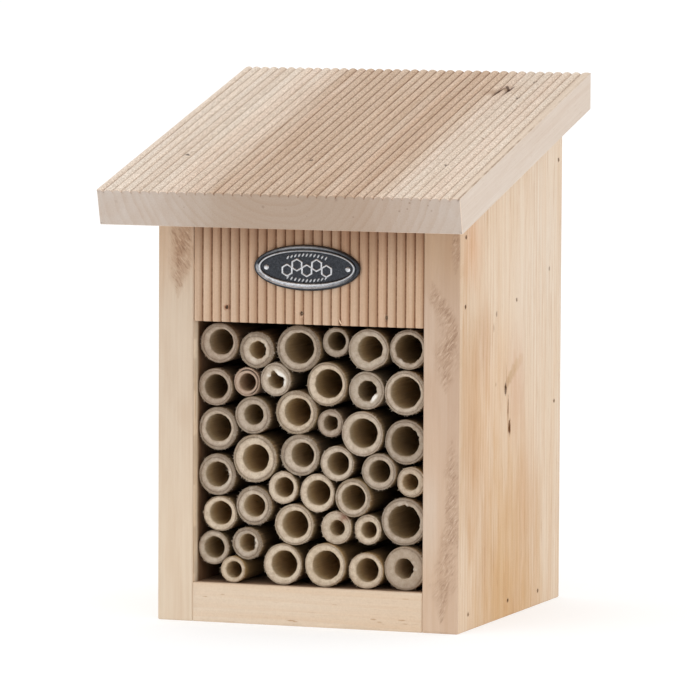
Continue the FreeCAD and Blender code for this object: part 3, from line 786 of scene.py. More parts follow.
    # bore
    torn_m = np.clip(tooth / (0.22 * r), 0, 1)
    torn_m = np.clip(np.maximum(torn_m * 0.4, white * 1.5), 0, 1.6)
    for s, k in ((0.52, 1.0), (0.72, 0.96), (1.05, 0.72), (1.6, 0.30), (2.6, 0.06), (4, 0), (7, 0), (12, 0),
                 (20, 0), (34, 0), (55, 0), (80, 0), (depth - 3.0, 0), (depth - 1.0, 0)):
        warp = 0.05 * np.array([noise.noise(Vector((c * 1.6 + sd, q * 1.6, s * 0.09 + 7))) for c, q in zip(CA, SA)])
        rr = inn - tooth * k + warp * (1 if s > 1 else 0)
        add(rr, s, ex, ez, 0.0, 2.0, torn_m * k)
    for f, s in ((0.93, depth - 0.3), (0.75, depth), (0.45, depth - 0.25), (0.15, depth - 0.5), (0.012, depth - 0.55)):
        add(inn * f, s, ex, ez, 0.0, 2.5)
    v = np.vstack(ring)
    nr = len(ring)
    faces = []
    for a in range(nr - 1):
        for k in range(NA):
            k2 = (k + 1) % NA
            faces.append((a * NA + k, a * NA + k2, (a + 1) * NA + k2, (a + 1) * NA + k))
    faces.append(tuple(range(NA - 1, -1, -1)))
    faces.append(tuple(range((nr - 1) * NA, nr * NA)))
    rf = np.concatenate([a[0] for a in attr])
    split_shade = np.concatenate([a[4] for a in attr])
    zone = np.concatenate([np.full(NA, a[1]) for a in attr])
    dep = np.concatenate([a[2] for a in attr])
    mem = np.concatenate([a[3] for a in attr])
    ang = np.tile(ANG, nr)
    verts = [v]
    n0 = len(v)

    # loose fibres left by the saw, only where there is room beside the cane
    rng = np.random.default_rng(1000 + i)
    fib_v, fib_f = [], []
    others = [(t[0], t[1], t[2]) for j, t in enumerate(TUBES, 1) if j != i]
    for _ in range(40):
        a = rng.uniform(0, 2 * math.pi)
        if math.sin(a) > 0.2 and rng.uniform() < 0.6:
            continue
        ln = rng.uniform(0.30, 0.95)
        kk = int(a / (2 * math.pi) * NA) % NA
        base_r = out[kk] - 0.10
        reach = base_r + ln
        tx, tz = x + reach * math.cos(a), z + reach * math.sin(a)
        if any(math.hypot(tx - o[0], tz - o[1]) < o[2] + 0.35 for o in others):
            continue
        if abs(tx) > HALF_IN - 0.5 or tz < FLOOR_T + 0.4 or tz > BAY_TOP - 0.5:
            continue
        u = np.array([math.cos(a), 0, math.sin(a)])
        t = np.array([-math.sin(a), 0, math.cos(a)])
        bend = rng.uniform(-0.6, 0.6)
        b0 = np.array([x, y0 + 0.22, z]) + u * base_r
        wd = rng.uniform(0.05, 0.11)
        mid = b0 + u * ln * 0.55 + t * bend * ln * 0.3
        tip = b0 + u * ln + t * bend * ln + np.array([0, rng.uniform(-0.05, 0.25), 0])
        # the tip keeps to its own half of the gap, so no cane drags on another's fibres
        own = math.hypot(tip[0] - x, tip[2] - z) - TUBES[i - 1][2]
        if any(math.hypot(tip[0] - q[0], tip[2] - q[1]) - q[2] < own + 0.15 for q in others):
            continue
        p = [b0 - t * wd, b0 + t * wd, b0 + np.array([0, wd * 1.6, 0]),
             mid - t * wd * 0.6, mid + t * wd * 0.6, mid + np.array([0, wd, 0]), tip]
        o = n0 + len(fib_v)
        fib_v += p
        fib_f += [(o, o + 1, o + 4, o + 3), (o + 1, o + 2, o + 5, o + 4), (o + 2, o, o + 3, o + 5),
                  (o + 3, o + 4, o + 6), (o + 4, o + 5, o + 6), (o + 5, o + 3, o + 6), (o + 2, o + 1, o)]
    # splinter standing in from the bore's edge
    if "splint" in look:
        a = look["splint"]
        u = np.array([math.cos(a), 0, math.sin(a)])
        t = np.array([-math.sin(a), 0, math.cos(a)])
        for q, ln, wd in ((0.0, 1.25, 0.20), (0.30, 0.75, 0.14), (-0.34, 0.9, 0.15)):
            kk = int(((a + q) % (2 * math.pi)) / (2 * math.pi) * NA) % NA
            b0 = np.array([x + ex, y0 + 0.35, z + ez]) + u * (inn[kk] + 0.08) * math.cos(q) + t * inn[kk] * math.sin(q)
            tip = b0 - u * ln + t * 0.35 * ln
            o = n0 + len(fib_v)
            fib_v += [b0 - t * wd, b0 + t * wd, b0 + np.array([0, wd * 1.8, 0]), tip]
            fib_f += [(o, o + 1, o + 3), (o + 1, o + 2, o + 3), (o + 2, o, o + 3), (o + 2, o + 1, o)]
    flake0 = n0 + len(fib_v)
    # a curled scrap of the white inner skin
    nf = 0
    if "flake" in look:
        a0, size = look["flake"]
        grid = []
        for g in range(5):
            for hh in range(6):
                a = a0 + (hh - 2.5) * 0.16 * size
                kk = int((a % (2 * math.pi)) / (2 * math.pi) * NA) % NA
                rr = inn[kk] + 0.05 - (g / 4) * 1.9 * size * (0.75 + 0.35 * math.sin(hh * 1.3 + sd)) * (1 - 0.1 * g)
                yy = y0 + 0.40 + 0.5 * math.sin(g / 4 * 1.6) + 0.12 * math.sin(hh * 2.1)
                grid.append((x + ex + rr * math.cos(a), yy, z + ez + rr * math.sin(a)))
        front = np.array(grid)
        back = front + np.array([0, 0.09, 0])
        o = flake0
        fib_v += list(front) + list(back)
        nf = len(front) * 2
        W, H, B = 6, 5, len(front)
        for g in range(H - 1):
            for hh in range(W - 1):
                q = o + g * W + hh
                fib_f.append((q, q + 1, q + W + 1, q + W))
                fib_f.append((q + B, q + B + W, q + B + W + 1, q + B + 1))
        for g in range(H - 1):
            q = o + g * W
            fib_f.append((q, q + W, q + B + W, q + B))
            q = o + g * W + W - 1
            fib_f.append((q, q + B, q + B + W, q + W))
        for hh in range(W - 1):
            q = o + hh
            fib_f.append((q, q + B, q + B + 1, q + 1))
            q = o + (H - 1) * W + hh
            fib_f.append((q, q + 1, q + B + 1, q + B))
    if fib_v:
        verts.append(np.array(fib_v))
        n = len(fib_v)
        rf = np.concatenate([rf, np.full(n, 0.5)])
        split_shade = np.concatenate([split_shade, np.zeros(n)])
        zone = np.concatenate([zone, np.full(n, 1.0)])
        dep = np.concatenate([dep, np.zeros(n)])
        fm = np.zeros(n)
        if nf:
            fm[n - nf:] = 1.6
        mem = np.concatenate([mem, fm])
        ang = np.concatenate([ang, np.zeros(n)])
        faces += fib_f
    stain = np.zeros(len(rf))
    if "stain" in look:
        d = np.abs((ang - 0.95 + math.pi) % (2 * math.pi) - math.pi)
        stain = look["stain"] * np.clip(1 - d / 0.55, 0, 1) * np.where(dep < 2, 1, 0)
    n = len(rf)
    rng = np.random.default_rng(77 + i)
    tone = rng.uniform(0, 0.15) if i in DULL else rng.uniform(0.12, 0.20) if i in DIM else rng.uniform(0.85, 1.0) if i in PALE else rng.uniform(0.35, 0.65)
    return make("cane_%02d" % i, np.vstack(verts), faces, attrs={
        "rf": rf, "zone": zone, "dep": dep, "mem": mem, "stain": stain, "split_shade": split_shade,
        "skin": np.full(n, 1.0 if i in DARK_SKIN else -1.0 if i in PALE_SKIN else 0.0),
        "plain": np.full(n, 1.0 if i in PLAIN else 0.0), "pit": np.full(n, -1.0 if i in SHADED_BORES else 1.0 if i in LIT else 0.0),
        "tone": np.full(n, tone), "warm": np.full(n, look.get("warm", 0.0)),
        "pink": np.full(n, look.get("pink", 0.0)), "grey": np.full(n, look.get("grey", 0.0)),
        "sdx": np.full(n, (i * 3.17) % 10)})


for i in range(1, len(TUBES) + 1):
    pieces["nest_tube_%02d" % i] = cane(i)


# ---------------------------------------------------------------------------
# Oval plaque, its pins, and the brads
# ---------------------------------------------------------------------------
PL_W, PL_H, PL_Z = 45.0, 18.5, 144.1
PIN_X, PIN_Z = (-17.2, 17.5), 143.9


def plaque():
    n = 160
    a = np.linspace(0, 2 * math.pi, n, endpoint=False)
    # inset from the outline, height over the reeds, bright metal
    prof = [(0.9, 0.02, 0), (0.25, 0.02, 0), (0.05, 0.15, 0), (0.0, 0.45, 0.0), (0.03, 0.95, 0.0),
            (0.20, 1.45, 0.05), (0.50, 1.78, 0.10), (0.85, 1.90, 0.05), (1.20, 1.84, 0.0), (1.50, 1.62, 0.0),
            (1.66, 1.40, 0.0), (1.76, 1.34, 0.10), (1.88, 1.44, 0.6), (2.06, 1.70, 1.0), (2.34, 1.88, 1.0),
            (2.66, 1.82, 1.0), (2.92, 1.56, 0.8), (3.10, 1.24, 0.25), (3.28, 1.08, 0.0), (3.7, 1.05, 0.0),
            (4.4, 1.06, 0.0), (5.4, 1.07, 0.0), (6.4, 1.08, 0.0), (7.4, 1.09, 0.0), (8.4, 1.10, 0.0)]
    v, br = [], []
    for inset, h, b in prof:
        A, B = PL_W / 2 - inset, PL_H / 2 - inset
        for k, t in enumerate(a):
            wob = 0.05 * noise.noise(Vector((math.cos(t) * 3, math.sin(t) * 3, inset * 0.7)))
            dent = 0.035 * noise.noise(Vector((A * math.cos(t) * 0.5, B * math.sin(t) * 0.5, 5.0))) if inset > 1.5 else 0.0
            v.append((A * math.cos(t), YF - h - wob - dent, PL_Z + B * math.sin(t)))
            # bright metal: a thin line round the bead, partly rubbed wear and partly painted reflection, stronger on
            # the left and weaker on top; a broad painted glint low on the left; a dull painted sheen on top
            low = max(0.0, math.cos((t - math.radians(250)) * 0.78)) ** 1.1 if math.pi * 0.95 < t < math.pi * 1.95 else 0.0
            top = max(0.0, math.cos(t - math.radians(98))) ** 4
            line = max(0.0, 1.0 - (abs(inset - 2.42) / 0.42) ** 4) * (0.66 + 0.22 * max(0.0, math.cos(t - math.radians(190))) - 0.26 * max(0.0, math.sin(t)) ** 3)
            band = low * max(0.0, 1.0 - (abs(inset - 1.95) / (0.55 + 0.55 * low)) ** 4)
            sheen = 0.34 * top * max(0.0, 1.0 - (abs(inset - 1.15) / 0.95) ** 2)
            grime_and_shade = 0.10 * noise.noise(Vector((math.cos(t) * 6, math.sin(t) * 6, inset * 2.0)))
            br.append(min(1.0, max(0.0, max(line, band, sheen) + (grime_and_shade if max(line, band, sheen) > 0.1 else 0.0))) if 0.1 < inset < 4.2 else 0.0)
    faces = []
    for r in range(len(prof) - 1):
        for k in range(n):
            k2 = (k + 1) % n
            faces.append((r * n + k, r * n + k2, (r + 1) * n + k2, (r + 1) * n + k))
    # the inmost oval closes as strips, the back as one face
    last = (len(prof) - 1) * n
    for k in range(1, n // 2):
        q = (last + k, last + k + 1, last + (n - k - 1) % n, last + (n - k) % n)
        faces.append(q if len(set(q)) == 4 else tuple(dict.fromkeys(q)))
    faces.append((last, last + 1, last + n - 1))
    faces.append(tuple(range(n - 1, -1, -1)))
    # raised comb cells: rounded ridges round six-sided hollows
    def cell(cx, cz, rad, w, high, base):
        rows = [(rad + w * 0.5, base - 0.05, 0.1), (rad + w * 0.36, base + high * 0.6, 0.75),
                (rad + w * 0.14, base + high, 0.84), (rad - w * 0.14, base + high, 0.84),
                (rad - w * 0.36, base + high * 0.6, 0.75), (rad - w * 0.5, base - 0.05, 0.1)]
        m = 48
        start = len(v)
        for rr, h, b in rows:
            for q in range(m):
                t = 2 * math.pi * q / m
                sect = (t + math.pi / 6) % (math.pi / 3) - math.pi / 6
                hexr = rr * math.cos(math.pi / 6) / math.cos(sect)
                hexr = hexr * 0.88 + rr * 0.955 * 0.12
                v.append((cx + hexr * math.sin(t + math.pi / 6), YF - h, cz + hexr * math.cos(t + math.pi / 6)))
                br.append(b)
        for r in range(len(rows)):
            r2 = (r + 1) % len(rows)
            for q in range(m):
                q2 = (q + 1) % m
                faces.append((start + r * m + q, start + r * m + q2, start + r2 * m + q2, start + r2 * m + q))
    rad = 2.30
    for c in range(-2, 3):
        cell(c * rad * math.sqrt(3) * 1.05, PL_Z + (1.10 if c % 2 else -1.10), rad, 1.10, 0.46, 1.07)
    # a row of raised seeds over and under the cells
    def seed(cx, cz, la, lb, turn, base):
        start, m = len(v), 16
        for k, (sc, h) in enumerate(((1.0, -0.04), (0.86, 0.16), (0.5, 0.27), (0.05, 0.30))):
            for q in range(m):
                t = 2 * math.pi * q / m
                u, w = la * sc * math.cos(t), lb * sc * math.sin(t)
                v.append((cx + u * math.cos(turn) - w * math.sin(turn), YF - base - h, cz + u * math.sin(turn) + w * math.cos(turn)))
                br.append(0.68 if k else 0.1)
        for r in range(3):
            for q in range(m):
                q2 = (q + 1) % m
                faces.append((start + r * m + q, start + r * m + q2, start + (r + 1) * m + q2, start + (r + 1) * m + q))
        faces.append(tuple(start + q for q in range(m - 1, -1, -1)))
        faces.append(tuple(start + 3 * m + q for q in range(m)))
    for c in range(-5, 6):
        x = c * 1.62
        bow = 0.018 * x * x
        seed(x, PL_Z + 5.15 - bow, 0.95, 0.40, math.radians(58), 1.07)
        seed(x, PL_Z - 5.15 + bow, 0.95, 0.40, math.radians(58), 1.07)
    return make("plaque_oval", np.array(v), faces, attrs={"bright": br})


pieces["oval_plaque"] = plaque()


def studs(name, spots, way, prof, n=28, grain=(0, 0, 1)):
    """Small turned heads with shanks: prof is (radius, distance along way)."""
    d = Vector(way).normalized()
    u = d.orthogonal().normalized()
    w = d.cross(u)
    v, faces = [], []
    for at in spots:
        o = len(v)
        for r, s in prof:
            for k in range(n):
                t = 2 * math.pi * k / n
                rr = r * (1 + 0.03 * noise.noise(Vector((math.cos(t), math.sin(t), at[0] + at[2] + s))))
                v.append(tuple(Vector(at) + d * s + u * rr * math.cos(t) + w * rr * math.sin(t)))
        m = len(prof)
        for r in range(m - 1):
            for k in range(n):
                k2 = (k + 1) % n
                faces.append((o + r * n + k, o + r * n + k2, o + (r + 1) * n + k2, o + (r + 1) * n + k))
        faces.append(tuple(o + k for k in range(n - 1, -1, -1)))
        faces.append(tuple(o + (m - 1) * n + k for k in range(n)))
    return make(name, np.array(v), faces)


HEAD = [(0.25, 0.50), (0.62, 0.505), (0.80, 0.53), (0.88, 0.62), (0.90, 0.9), (0.86, 1.3),
        (0.66, 1.42), (0.60, 1.6), (0.60, 15.0), (0.60, 28.0), (0.40, 29.3), (0.08, 30.4)]
PIN = [(0.12, -0.62), (0.45, -0.58), (0.80, -0.47), (1.02, -0.30), (1.14, -0.10), (1.15, 0.03),
       (0.60, 0.06), (0.55, 0.3), (0.55, 6.0), (0.55, 11.2), (0.30, 12.0)]
pieces["side_nails_right"] = studs(
    "brads_right_side", [(BODY_W / 2, YF + y, z) for y, z in SIDE_NAILS], (-1, 0, 0), HEAD)
pieces["side_nails_left"] = studs(
    "brads_left_side", [(-BODY_W / 2, YF + y, z) for y, z in SIDE_NAILS_L], (1, 0, 0), HEAD)
pieces["roof_nails"] = studs(
    "brads_roof", [(x, YF + y, under_z(y) + (ROOF_T - 0.475) / COS) for x, y in ROOF_NAILS], -NORMAL, HEAD)
pieces["front_board_nails"] = studs(
    "brads_front_board", [(x, YF + 0.475, z) for x, z in FRONT_NAILS], (0, 1, 0), HEAD)
pieces["plaque_pins"] = studs(
    "pins_plaque", [(x, YF - 1.12, PIN_Z) for x in PIN_X], (0, 1, 0), PIN)


# ---------------------------------------------------------------------------
# Materials
# ---------------------------------------------------------------------------
class Look:
    """A material's node tree, written as sums."""

    def __init__(self, name):
        self.mat = bpy.data.materials.new(name)
        self.mat.use_nodes = True
        self.t = self.mat.node_tree
        self.t.nodes.clear()
        self.out = self.t.nodes.new("ShaderNodeOutputMaterial")
        self.bsdf = self.t.nodes.new("ShaderNodeBsdfPrincipled")
        self.t.links.new(self.bsdf.outputs[0], self.out.inputs[0])
        co = self.t.nodes.new("ShaderNodeTexCoord")
        self.obj = self.vm("SCALE", co.outputs["Object"], scale=1000.0)

    def put(self, socket, value):
        if isinstance(value, bpy.types.NodeSocket):
            self.t.links.new(value, socket)
        elif hasattr(socket.default_value, "__len__") and not hasattr(value, "__len__"):
            socket.default_value = [value] * len(socket.default_value)
        elif hasattr(value, "__len__") and len(value) == 3 and len(socket.default_value) == 4:
            socket.default_value = (*value, 1.0)
        else:
            socket.default_value = value

    def m(self, op, a, b=0.0, c=None, clamp=False):
        n = self.t.nodes.new("ShaderNodeMath")
        n.operation = op
        n.use_clamp = clamp
        self.put(n.inputs[0], a)
        self.put(n.inputs[1], b)
        if c is not None:
            self.put(n.inputs[2], c)
        return n.outputs[0]

    def vm(self, op, a, b=None, scale=None):
        n = self.t.nodes.new("ShaderNodeVectorMath")
        n.operation = op
        self.put(n.inputs[0], a)
        if b is not None:
            self.put(n.inputs[1], b)
        if scale is not None:
            self.put(n.inputs["Scale"], scale)
        return n.outputs["Value"] if op in ("LENGTH", "DOT_PRODUCT", "DISTANCE") else n.outputs[0]

    def sep(self, v):
        n = self.t.nodes.new("ShaderNodeSeparateXYZ")
        self.put(n.inputs[0], v)
        return n.outputs[0], n.outputs[1], n.outputs[2]

    def com(self, x, y, z):
        n = self.t.nodes.new("ShaderNodeCombineXYZ")
        for k, q in enumerate((x, y, z)):
            self.put(n.inputs[k], q)
        return n.outputs[0]

    def noise(self, v, scale=1.0, detail=2.0, rough=0.5, warp=0.0, colour=False):
        n = self.t.nodes.new("ShaderNodeTexNoise")
        n.noise_dimensions = "3D"
        self.put(n.inputs["Vector"], v)
        self.put(n.inputs["Scale"], scale)
        self.put(n.inputs["Detail"], detail)
        self.put(n.inputs["Roughness"], rough)
        self.put(n.inputs["Distortion"], warp)
        return n.outputs["Color"] if colour else n.outputs[0]

    def voronoi(self, v, scale=1.0, feature="F1", rand=1.0):
        n = self.t.nodes.new("ShaderNodeTexVoronoi")
        n.feature = feature
        self.put(n.inputs["Vector"], v)
        self.put(n.inputs["Scale"], scale)
        self.put(n.inputs["Randomness"], rand)
        return n.outputs["Distance"]

    def span(self, v, a, b, c=0.0, d=1.0, smooth=False):
        n = self.t.nodes.new("ShaderNodeMapRange")
        n.interpolation_type = "SMOOTHSTEP" if smooth else "LINEAR"
        n.clamp = True
        for k, q in enumerate((v, a, b, c, d)):
            self.put(n.inputs[k], q)
        return n.outputs[0]

    def mix(self, f, a, b, kind="MIX"):
        n = self.t.nodes.new("ShaderNodeMix")
        n.data_type = "RGBA"
        n.blend_type = kind
        n.clamp_factor = True
        self.put(n.inputs["Factor"], f)
        self.put(n.inputs[6], a)
        self.put(n.inputs[7], b)
        return n.outputs[2]

    def ramp(self, f, stops):
        n = self.t.nodes.new("ShaderNodeValToRGB")
        e = n.color_ramp.elements
        while len(e) > 1:
            e.remove(e[-1])
        e[0].position, e[0].color = stops[0][0], (*stops[0][1], 1)
        for p, c in stops[1:]:
            q = e.new(p)
            q.color = (*c, 1)
        self.put(n.inputs[0], f)
        return n.outputs[0]

    def attr(self, name):
        n = self.t.nodes.new("ShaderNodeAttribute")
        n.attribute_name = name
        return n.outputs["Fac"]

    def true_normal(self):
        n = self.t.nodes.new("ShaderNodeNewGeometry")
        return n.outputs["True Normal"]

    def bump(self, height, distance, strength=1.0, normal=None):
        n = self.t.nodes.new("ShaderNodeBump")
        self.put(n.inputs["Strength"], strength)
        self.put(n.inputs["Distance"], distance)
        self.put(n.inputs["Height"], height)
        if normal is not None:
            self.put(n.inputs["Normal"], normal)
        return n.outputs[0]

    def done(self, colour, rough, normal=None, metallic=0.0, spec=0.5, mean=(0.6, 0.45, 0.3)):
        p = self.bsdf.inputs
        p["Base Color"].default_value = (*mean, 1)
        self.put(p["Base Color"], colour)
        self.put(p["Roughness"], rough)
        self.put(p["Metallic"], metallic)
        p["Specular IOR Level"].default_value = spec
        if normal is not None:
            self.put(p["Normal"], normal)
        return self.mat


def srgb(r, g, b):
    f = lambda c: c / 12.92 if c <= 0.04045 else ((c + 0.055) / 1.055) ** 2.4
    return tuple(f(c / 255.0) for c in (r, g, b))


def wood(name, axes, pith, spacing, pale, warm, late, late_amt=0.5, streak_amt=0.6, grain_axis=(0, 0, 1),
         seed=0.0, spots=(), band=None, groove=0.0, end_tint=(0.86, 0.84, 0.83), end_ring=0.5, wob=1.0,
         grit=0.05, extra=None, rough=0.66, relief=0.55, wide=0.0, painted_flank_shade=0.0, grit_on=None,
         lines=0.0, line_f=0.55, fibre=1.0, calm_x=None):
    """Planed softwood. axes turns a point into (across, across, along the grain)."""
    k = Look(name)
    a, b, g = axes(k)
    sa = k.m("ADD", a, seed * 17.0)

    def field(fa, fg, detail=2.0, r=0.5, colour=False):
        return k.noise(k.com(k.m("MULTIPLY", sa, fa), k.m("MULTIPLY", b, fa), k.m("MULTIPLY", g, fg)), 1.0, detail, r, colour=colour)

    # slow wander of the grain, then a finer one
    x1, y1, _ = k.sep(field(0.016, 0.0052, colour=True))
    x2, y2, _ = k.sep(field(0.12, 0.022, colour=True))
    da = k.m("ADD", k.m("MULTIPLY", k.m("SUBTRACT", x1, 0.5), 13.0 * wob), k.m("MULTIPLY", k.m("SUBTRACT", x2, 0.5), 1.3 * wob))
    db = k.m("ADD", k.m("MULTIPLY", k.m("SUBTRACT", y1, 0.5), 13.0 * wob), k.m("MULTIPLY", k.m("SUBTRACT", y2, 0.5), 1.3 * wob))
    ra = k.m("SUBTRACT", k.m("ADD", a, da), pith[0])
    rb = k.m("SUBTRACT", k.m("ADD", b, db), pith[1])
    r = k.m("SQRT", k.m("ADD", k.m("MULTIPLY", ra, ra), k.m("MULTIPLY", rb, rb)))
    # ring widths vary from year to year
    vary = k.noise(k.com(k.m("MULTIPLY", r, 0.11), seed, 0.0), 1.0, 2.0)
    f = k.m("FRACT", k.m("ADD", k.m("DIVIDE", r, spacing), k.m("MULTIPLY", vary, 2.6)))
    lw = k.m("MULTIPLY", k.span(f, 0.30, 0.90, smooth=True), k.span(f, 1.0, 0.93, smooth=True))
    depth = k.noise(k.com(k.m("MULTIPLY", r, 0.07), seed + 4.0, k.m("MULTIPLY", g, 0.006)), 1.0, 1.0)
    lw = k.m("MULTIPLY", lw, k.span(depth, 0.25, 0.75, 0.35, 1.15))
    # sawn ends
    end = k.span(k.m("ABSOLUTE", k.vm("DOT_PRODUCT", k.true_normal(), grain_axis)), 0.70, 0.93, smooth=True)
    lw = k.m("MULTIPLY", lw, k.span(end, 0.0, 1.0, 1.0, end_ring))
    # fibres, flecks and broad colour streaks along the grain
    fib = field(1.7, 0.030, 4.0, 0.62)
    fine = field(5.5, 0.16, 3.0, 0.6)
    fleck = field(2.3, 0.20, 1.0, 0.4)
    streak = field(0.11, 0.0085, 3.0, 0.55)
    cloud = field(0.03, 0.012, 2.0)
    gr = k.noise(k.obj, 1.5, 1.0, 0.6)
    c = k.mix(k.m("MULTIPLY", k.span(streak, 0.40, 0.68, smooth=True), streak_amt), pale, warm)
    c = k.mix(k.m("MULTIPLY", k.span(cloud, 0.45, 0.72, smooth=True), streak_amt * 0.55), c, warm)
    if band is not None:
        tone = band(k, a, b, g, streak, fib, end)
        c = k.mix(tone, c, late)
        late = k.mix(1.0, c, (0.88, 0.80, 0.72), "MULTIPLY")
    c = k.mix(k.m("MULTIPLY", lw, late_amt), c, late)
    c = k.mix(k.span(fib, 0.30, 0.62, 0.20 * fibre, 0.0), c, k.mix(1.0, c, (0.74, 0.63, 0.52), "MULTIPLY"))
    c = k.mix(k.span(fib, 0.52, 0.80, 0.0, 0.16 * fibre), c, k.mix(1.0, c, (1.14, 1.15, 1.16), "MULTIPLY"))
    c = k.mix(k.span(fleck, 0.66, 0.78, 0.0, 0.30), c, k.mix(1.0, c, (0.70, 0.56, 0.44), "MULTIPLY"))
    if lines:
        ln = k.m("ADD", k.m("MULTIPLY", field(line_f, 0.011, 3.0, 0.72), 0.55), k.m("MULTIPLY", field(line_f * 2.6, 0.034, 2.0, 0.6), 0.45))
        c = k.mix(k.span(ln, 0.50, 0.64, 0.0, lines), c, k.mix(1.0, c, (0.84, 0.71, 0.56), "MULTIPLY"))
        # thin broken lines, now and then a little crooked
        bend = k.m("MULTIPLY", k.m("SUBTRACT", field(0.05, 0.05), 0.5), 2.6)
        hair = k.noise(k.com(k.m("MULTIPLY", k.m("ADD", sa, bend), 0.95), k.m("MULTIPLY", k.m("ADD", b, bend), 0.95), k.m("MULTIPLY", g, 0.020)), 1.0, 3.0, 0.6)
        brk = field(0.35, 0.05, 1.0)
        c = k.mix(k.m("MULTIPLY", k.span(hair, 0.54, 0.64, 0.0, lines * 1.3), k.span(brk, 0.38, 0.56)), c, k.mix(1.0, c, (0.82, 0.70, 0.58), "MULTIPLY"))
        c = k.mix(k.span(ln, 0.49, 0.38, 0.0, lines), c, k.mix(1.0, c, (1.06, 1.09, 1.13), "MULTIPLY"))
    calm = k.span(end, 0.0, 1.0, 1.0, 0.22)
    if grit_on is not None:
        calm = k.m("MULTIPLY", calm, k.span(k.vm("DOT_PRODUCT", k.true_normal(), grit_on), 0.15, 0.45, 0.15, 1.0))
    if calm_x is not None:
        calm = k.m("MULTIPLY", calm, k.span(a, calm_x, calm_x + 1.4, 1.0, 0.30))
    c = k.mix(k.m("MULTIPLY", k.span(gr, 0.36, 0.58, grit * 2.0, 0.0), calm), c, k.mix(1.0, c, (0.64, 0.58, 0.53), "MULTIPLY"))
    c = k.mix(k.m("MULTIPLY", k.span(gr, 0.50, 0.70, 0.0, grit * 2.0), calm), c, k.mix(1.0, c, (1.22, 1.22, 1.22), "MULTIPLY"))
    pore = k.noise(k.com(k.m("MULTIPLY", a, 2.6), k.m("MULTIPLY", b, 2.6), 1.0), 1.0, 4.0, 0.7)
    ec = k.mix(1.0, c, end_tint, "MULTIPLY")
    ec = k.mix(k.span(pore, 0.35, 0.70, 0.11, 0.0), ec, k.mix(1.0, ec, (0.76, 0.70, 0.66), "MULTIPLY"))
    c = k.mix(end, c, ec)
    # nail rust, pitch, knots and stains, and here and there painted shade: soft spots at given places
    ragged = k.noise(k.obj, 0.9, 2.0)
    broad = k.noise(k.com(k.m("MULTIPLY", k.sep(k.obj)[0], 0.10), k.m("MULTIPLY", k.sep(k.obj)[1], 0.10), k.m("MULTIPLY", k.sep(k.obj)[2], 0.03)), 1.0, 3.0)
    for (sx, sy, sz, rad, tall, tint, amt) in spots:
        qx, qy, qz = k.sep(k.vm("SUBTRACT", k.obj, (sx, sy, sz)))
        dist = k.vm("LENGTH", k.com(k.m("DIVIDE", qx, max(rad, wide)), k.m("DIVIDE", qy, rad), k.m("DIVIDE", qz, tall)))
        if rad > 6.0:
            dist = k.m("ADD", dist, k.m("MULTIPLY", k.m("SUBTRACT", broad, 0.5), 1.1))
            c = k.mix(k.m("MULTIPLY", k.span(dist, 1.25, 0.1, smooth=True), amt), c, k.mix(1.0, c, tint, "MULTIPLY"))
        else:
            dist = k.m("ADD", dist, k.m("MULTIPLY", k.m("SUBTRACT", ragged, 0.5), 0.7))
            c = k.mix(k.m("MULTIPLY", k.span(dist, 1.0, 0.35, smooth=True), amt), c, tint)
    # groove darkening: partly dirt in the grooves, partly painted shade
    if groove:
        gv = k.attr("groove")
        amount = groove if band is None else k.span(tone, 0.0, 1.0, groove * 0.48, groove)
        dash = k.noise(k.com(k.m("MULTIPLY", a, 0.5), 1.0, k.m("MULTIPLY", g, 0.75)), 1.0, 2.0, 0.6)
        amount = k.m("MULTIPLY", amount, k.span(dash, 0.32, 0.66, 0.62, 1.15), clamp=True)
        c = k.mix(k.m("MULTIPLY", k.span(gv, 0.10, 0.95, smooth=True), amount), c, k.mix(1.0, c, (0.40, 0.29, 0.21), "MULTIPLY"))
    # painted light and shade across each reed: the left flank lighter, the right flank darker
    if painted_flank_shade:
        fl = k.attr("painted_flank_shade")
        c = k.mix(k.span(fl, 0.05, 0.95, 0.0, painted_flank_shade, smooth=True), c, k.mix(1.0, c, (0.66, 0.56, 0.48), "MULTIPLY"))
        c = k.mix(k.span(fl, -0.20, -0.80, 0.0, painted_flank_shade, smooth=True), c, k.mix(1.0, c, (1.20, 1.22, 1.24), "MULTIPLY"))
    h = k.m("ADD", k.m("MULTIPLY", fib, 0.9), k.m("ADD", k.m("MULTIPLY", fine, 0.7), k.m("MULTIPLY", lw, 0.30)))
    h = k.m("ADD", h, k.m("MULTIPLY", k.m("MULTIPLY", gr, calm), grit * 14.0))
    h = k.m("ADD", h, k.m("MULTIPLY", k.m("MULTIPLY", pore, end), 1.2))
    if extra is not None:
        c, h = extra(k, c, h, a, b, g)
    nor = k.bump(h, 0.00016, relief)
    ro = k.m("ADD", k.m("MULTIPLY", fine, 0.22), k.m("ADD", rough - 0.12, k.m("MULTIPLY", lw, -0.10)), clamp=True)
    return k.done(c, ro, nor, spec=0.28, mean=pale)


def upright(k):
    x, y, z = k.sep(k.obj)
    return x, y, z


def crosswise(k):
    x, y, z = k.sep(k.obj)
    return y, z, x


def sloped(k):
    n = k.t.nodes.new("ShaderNodeMapping")
    n.vector_type = "POINT"
    n.inputs["Rotation"].default_value = (-SLOPE, 0, 0)
    k.put(n.inputs["Vector"], k.obj)
    x, s, h = k.sep(n.outputs[0])
    return x, h, s


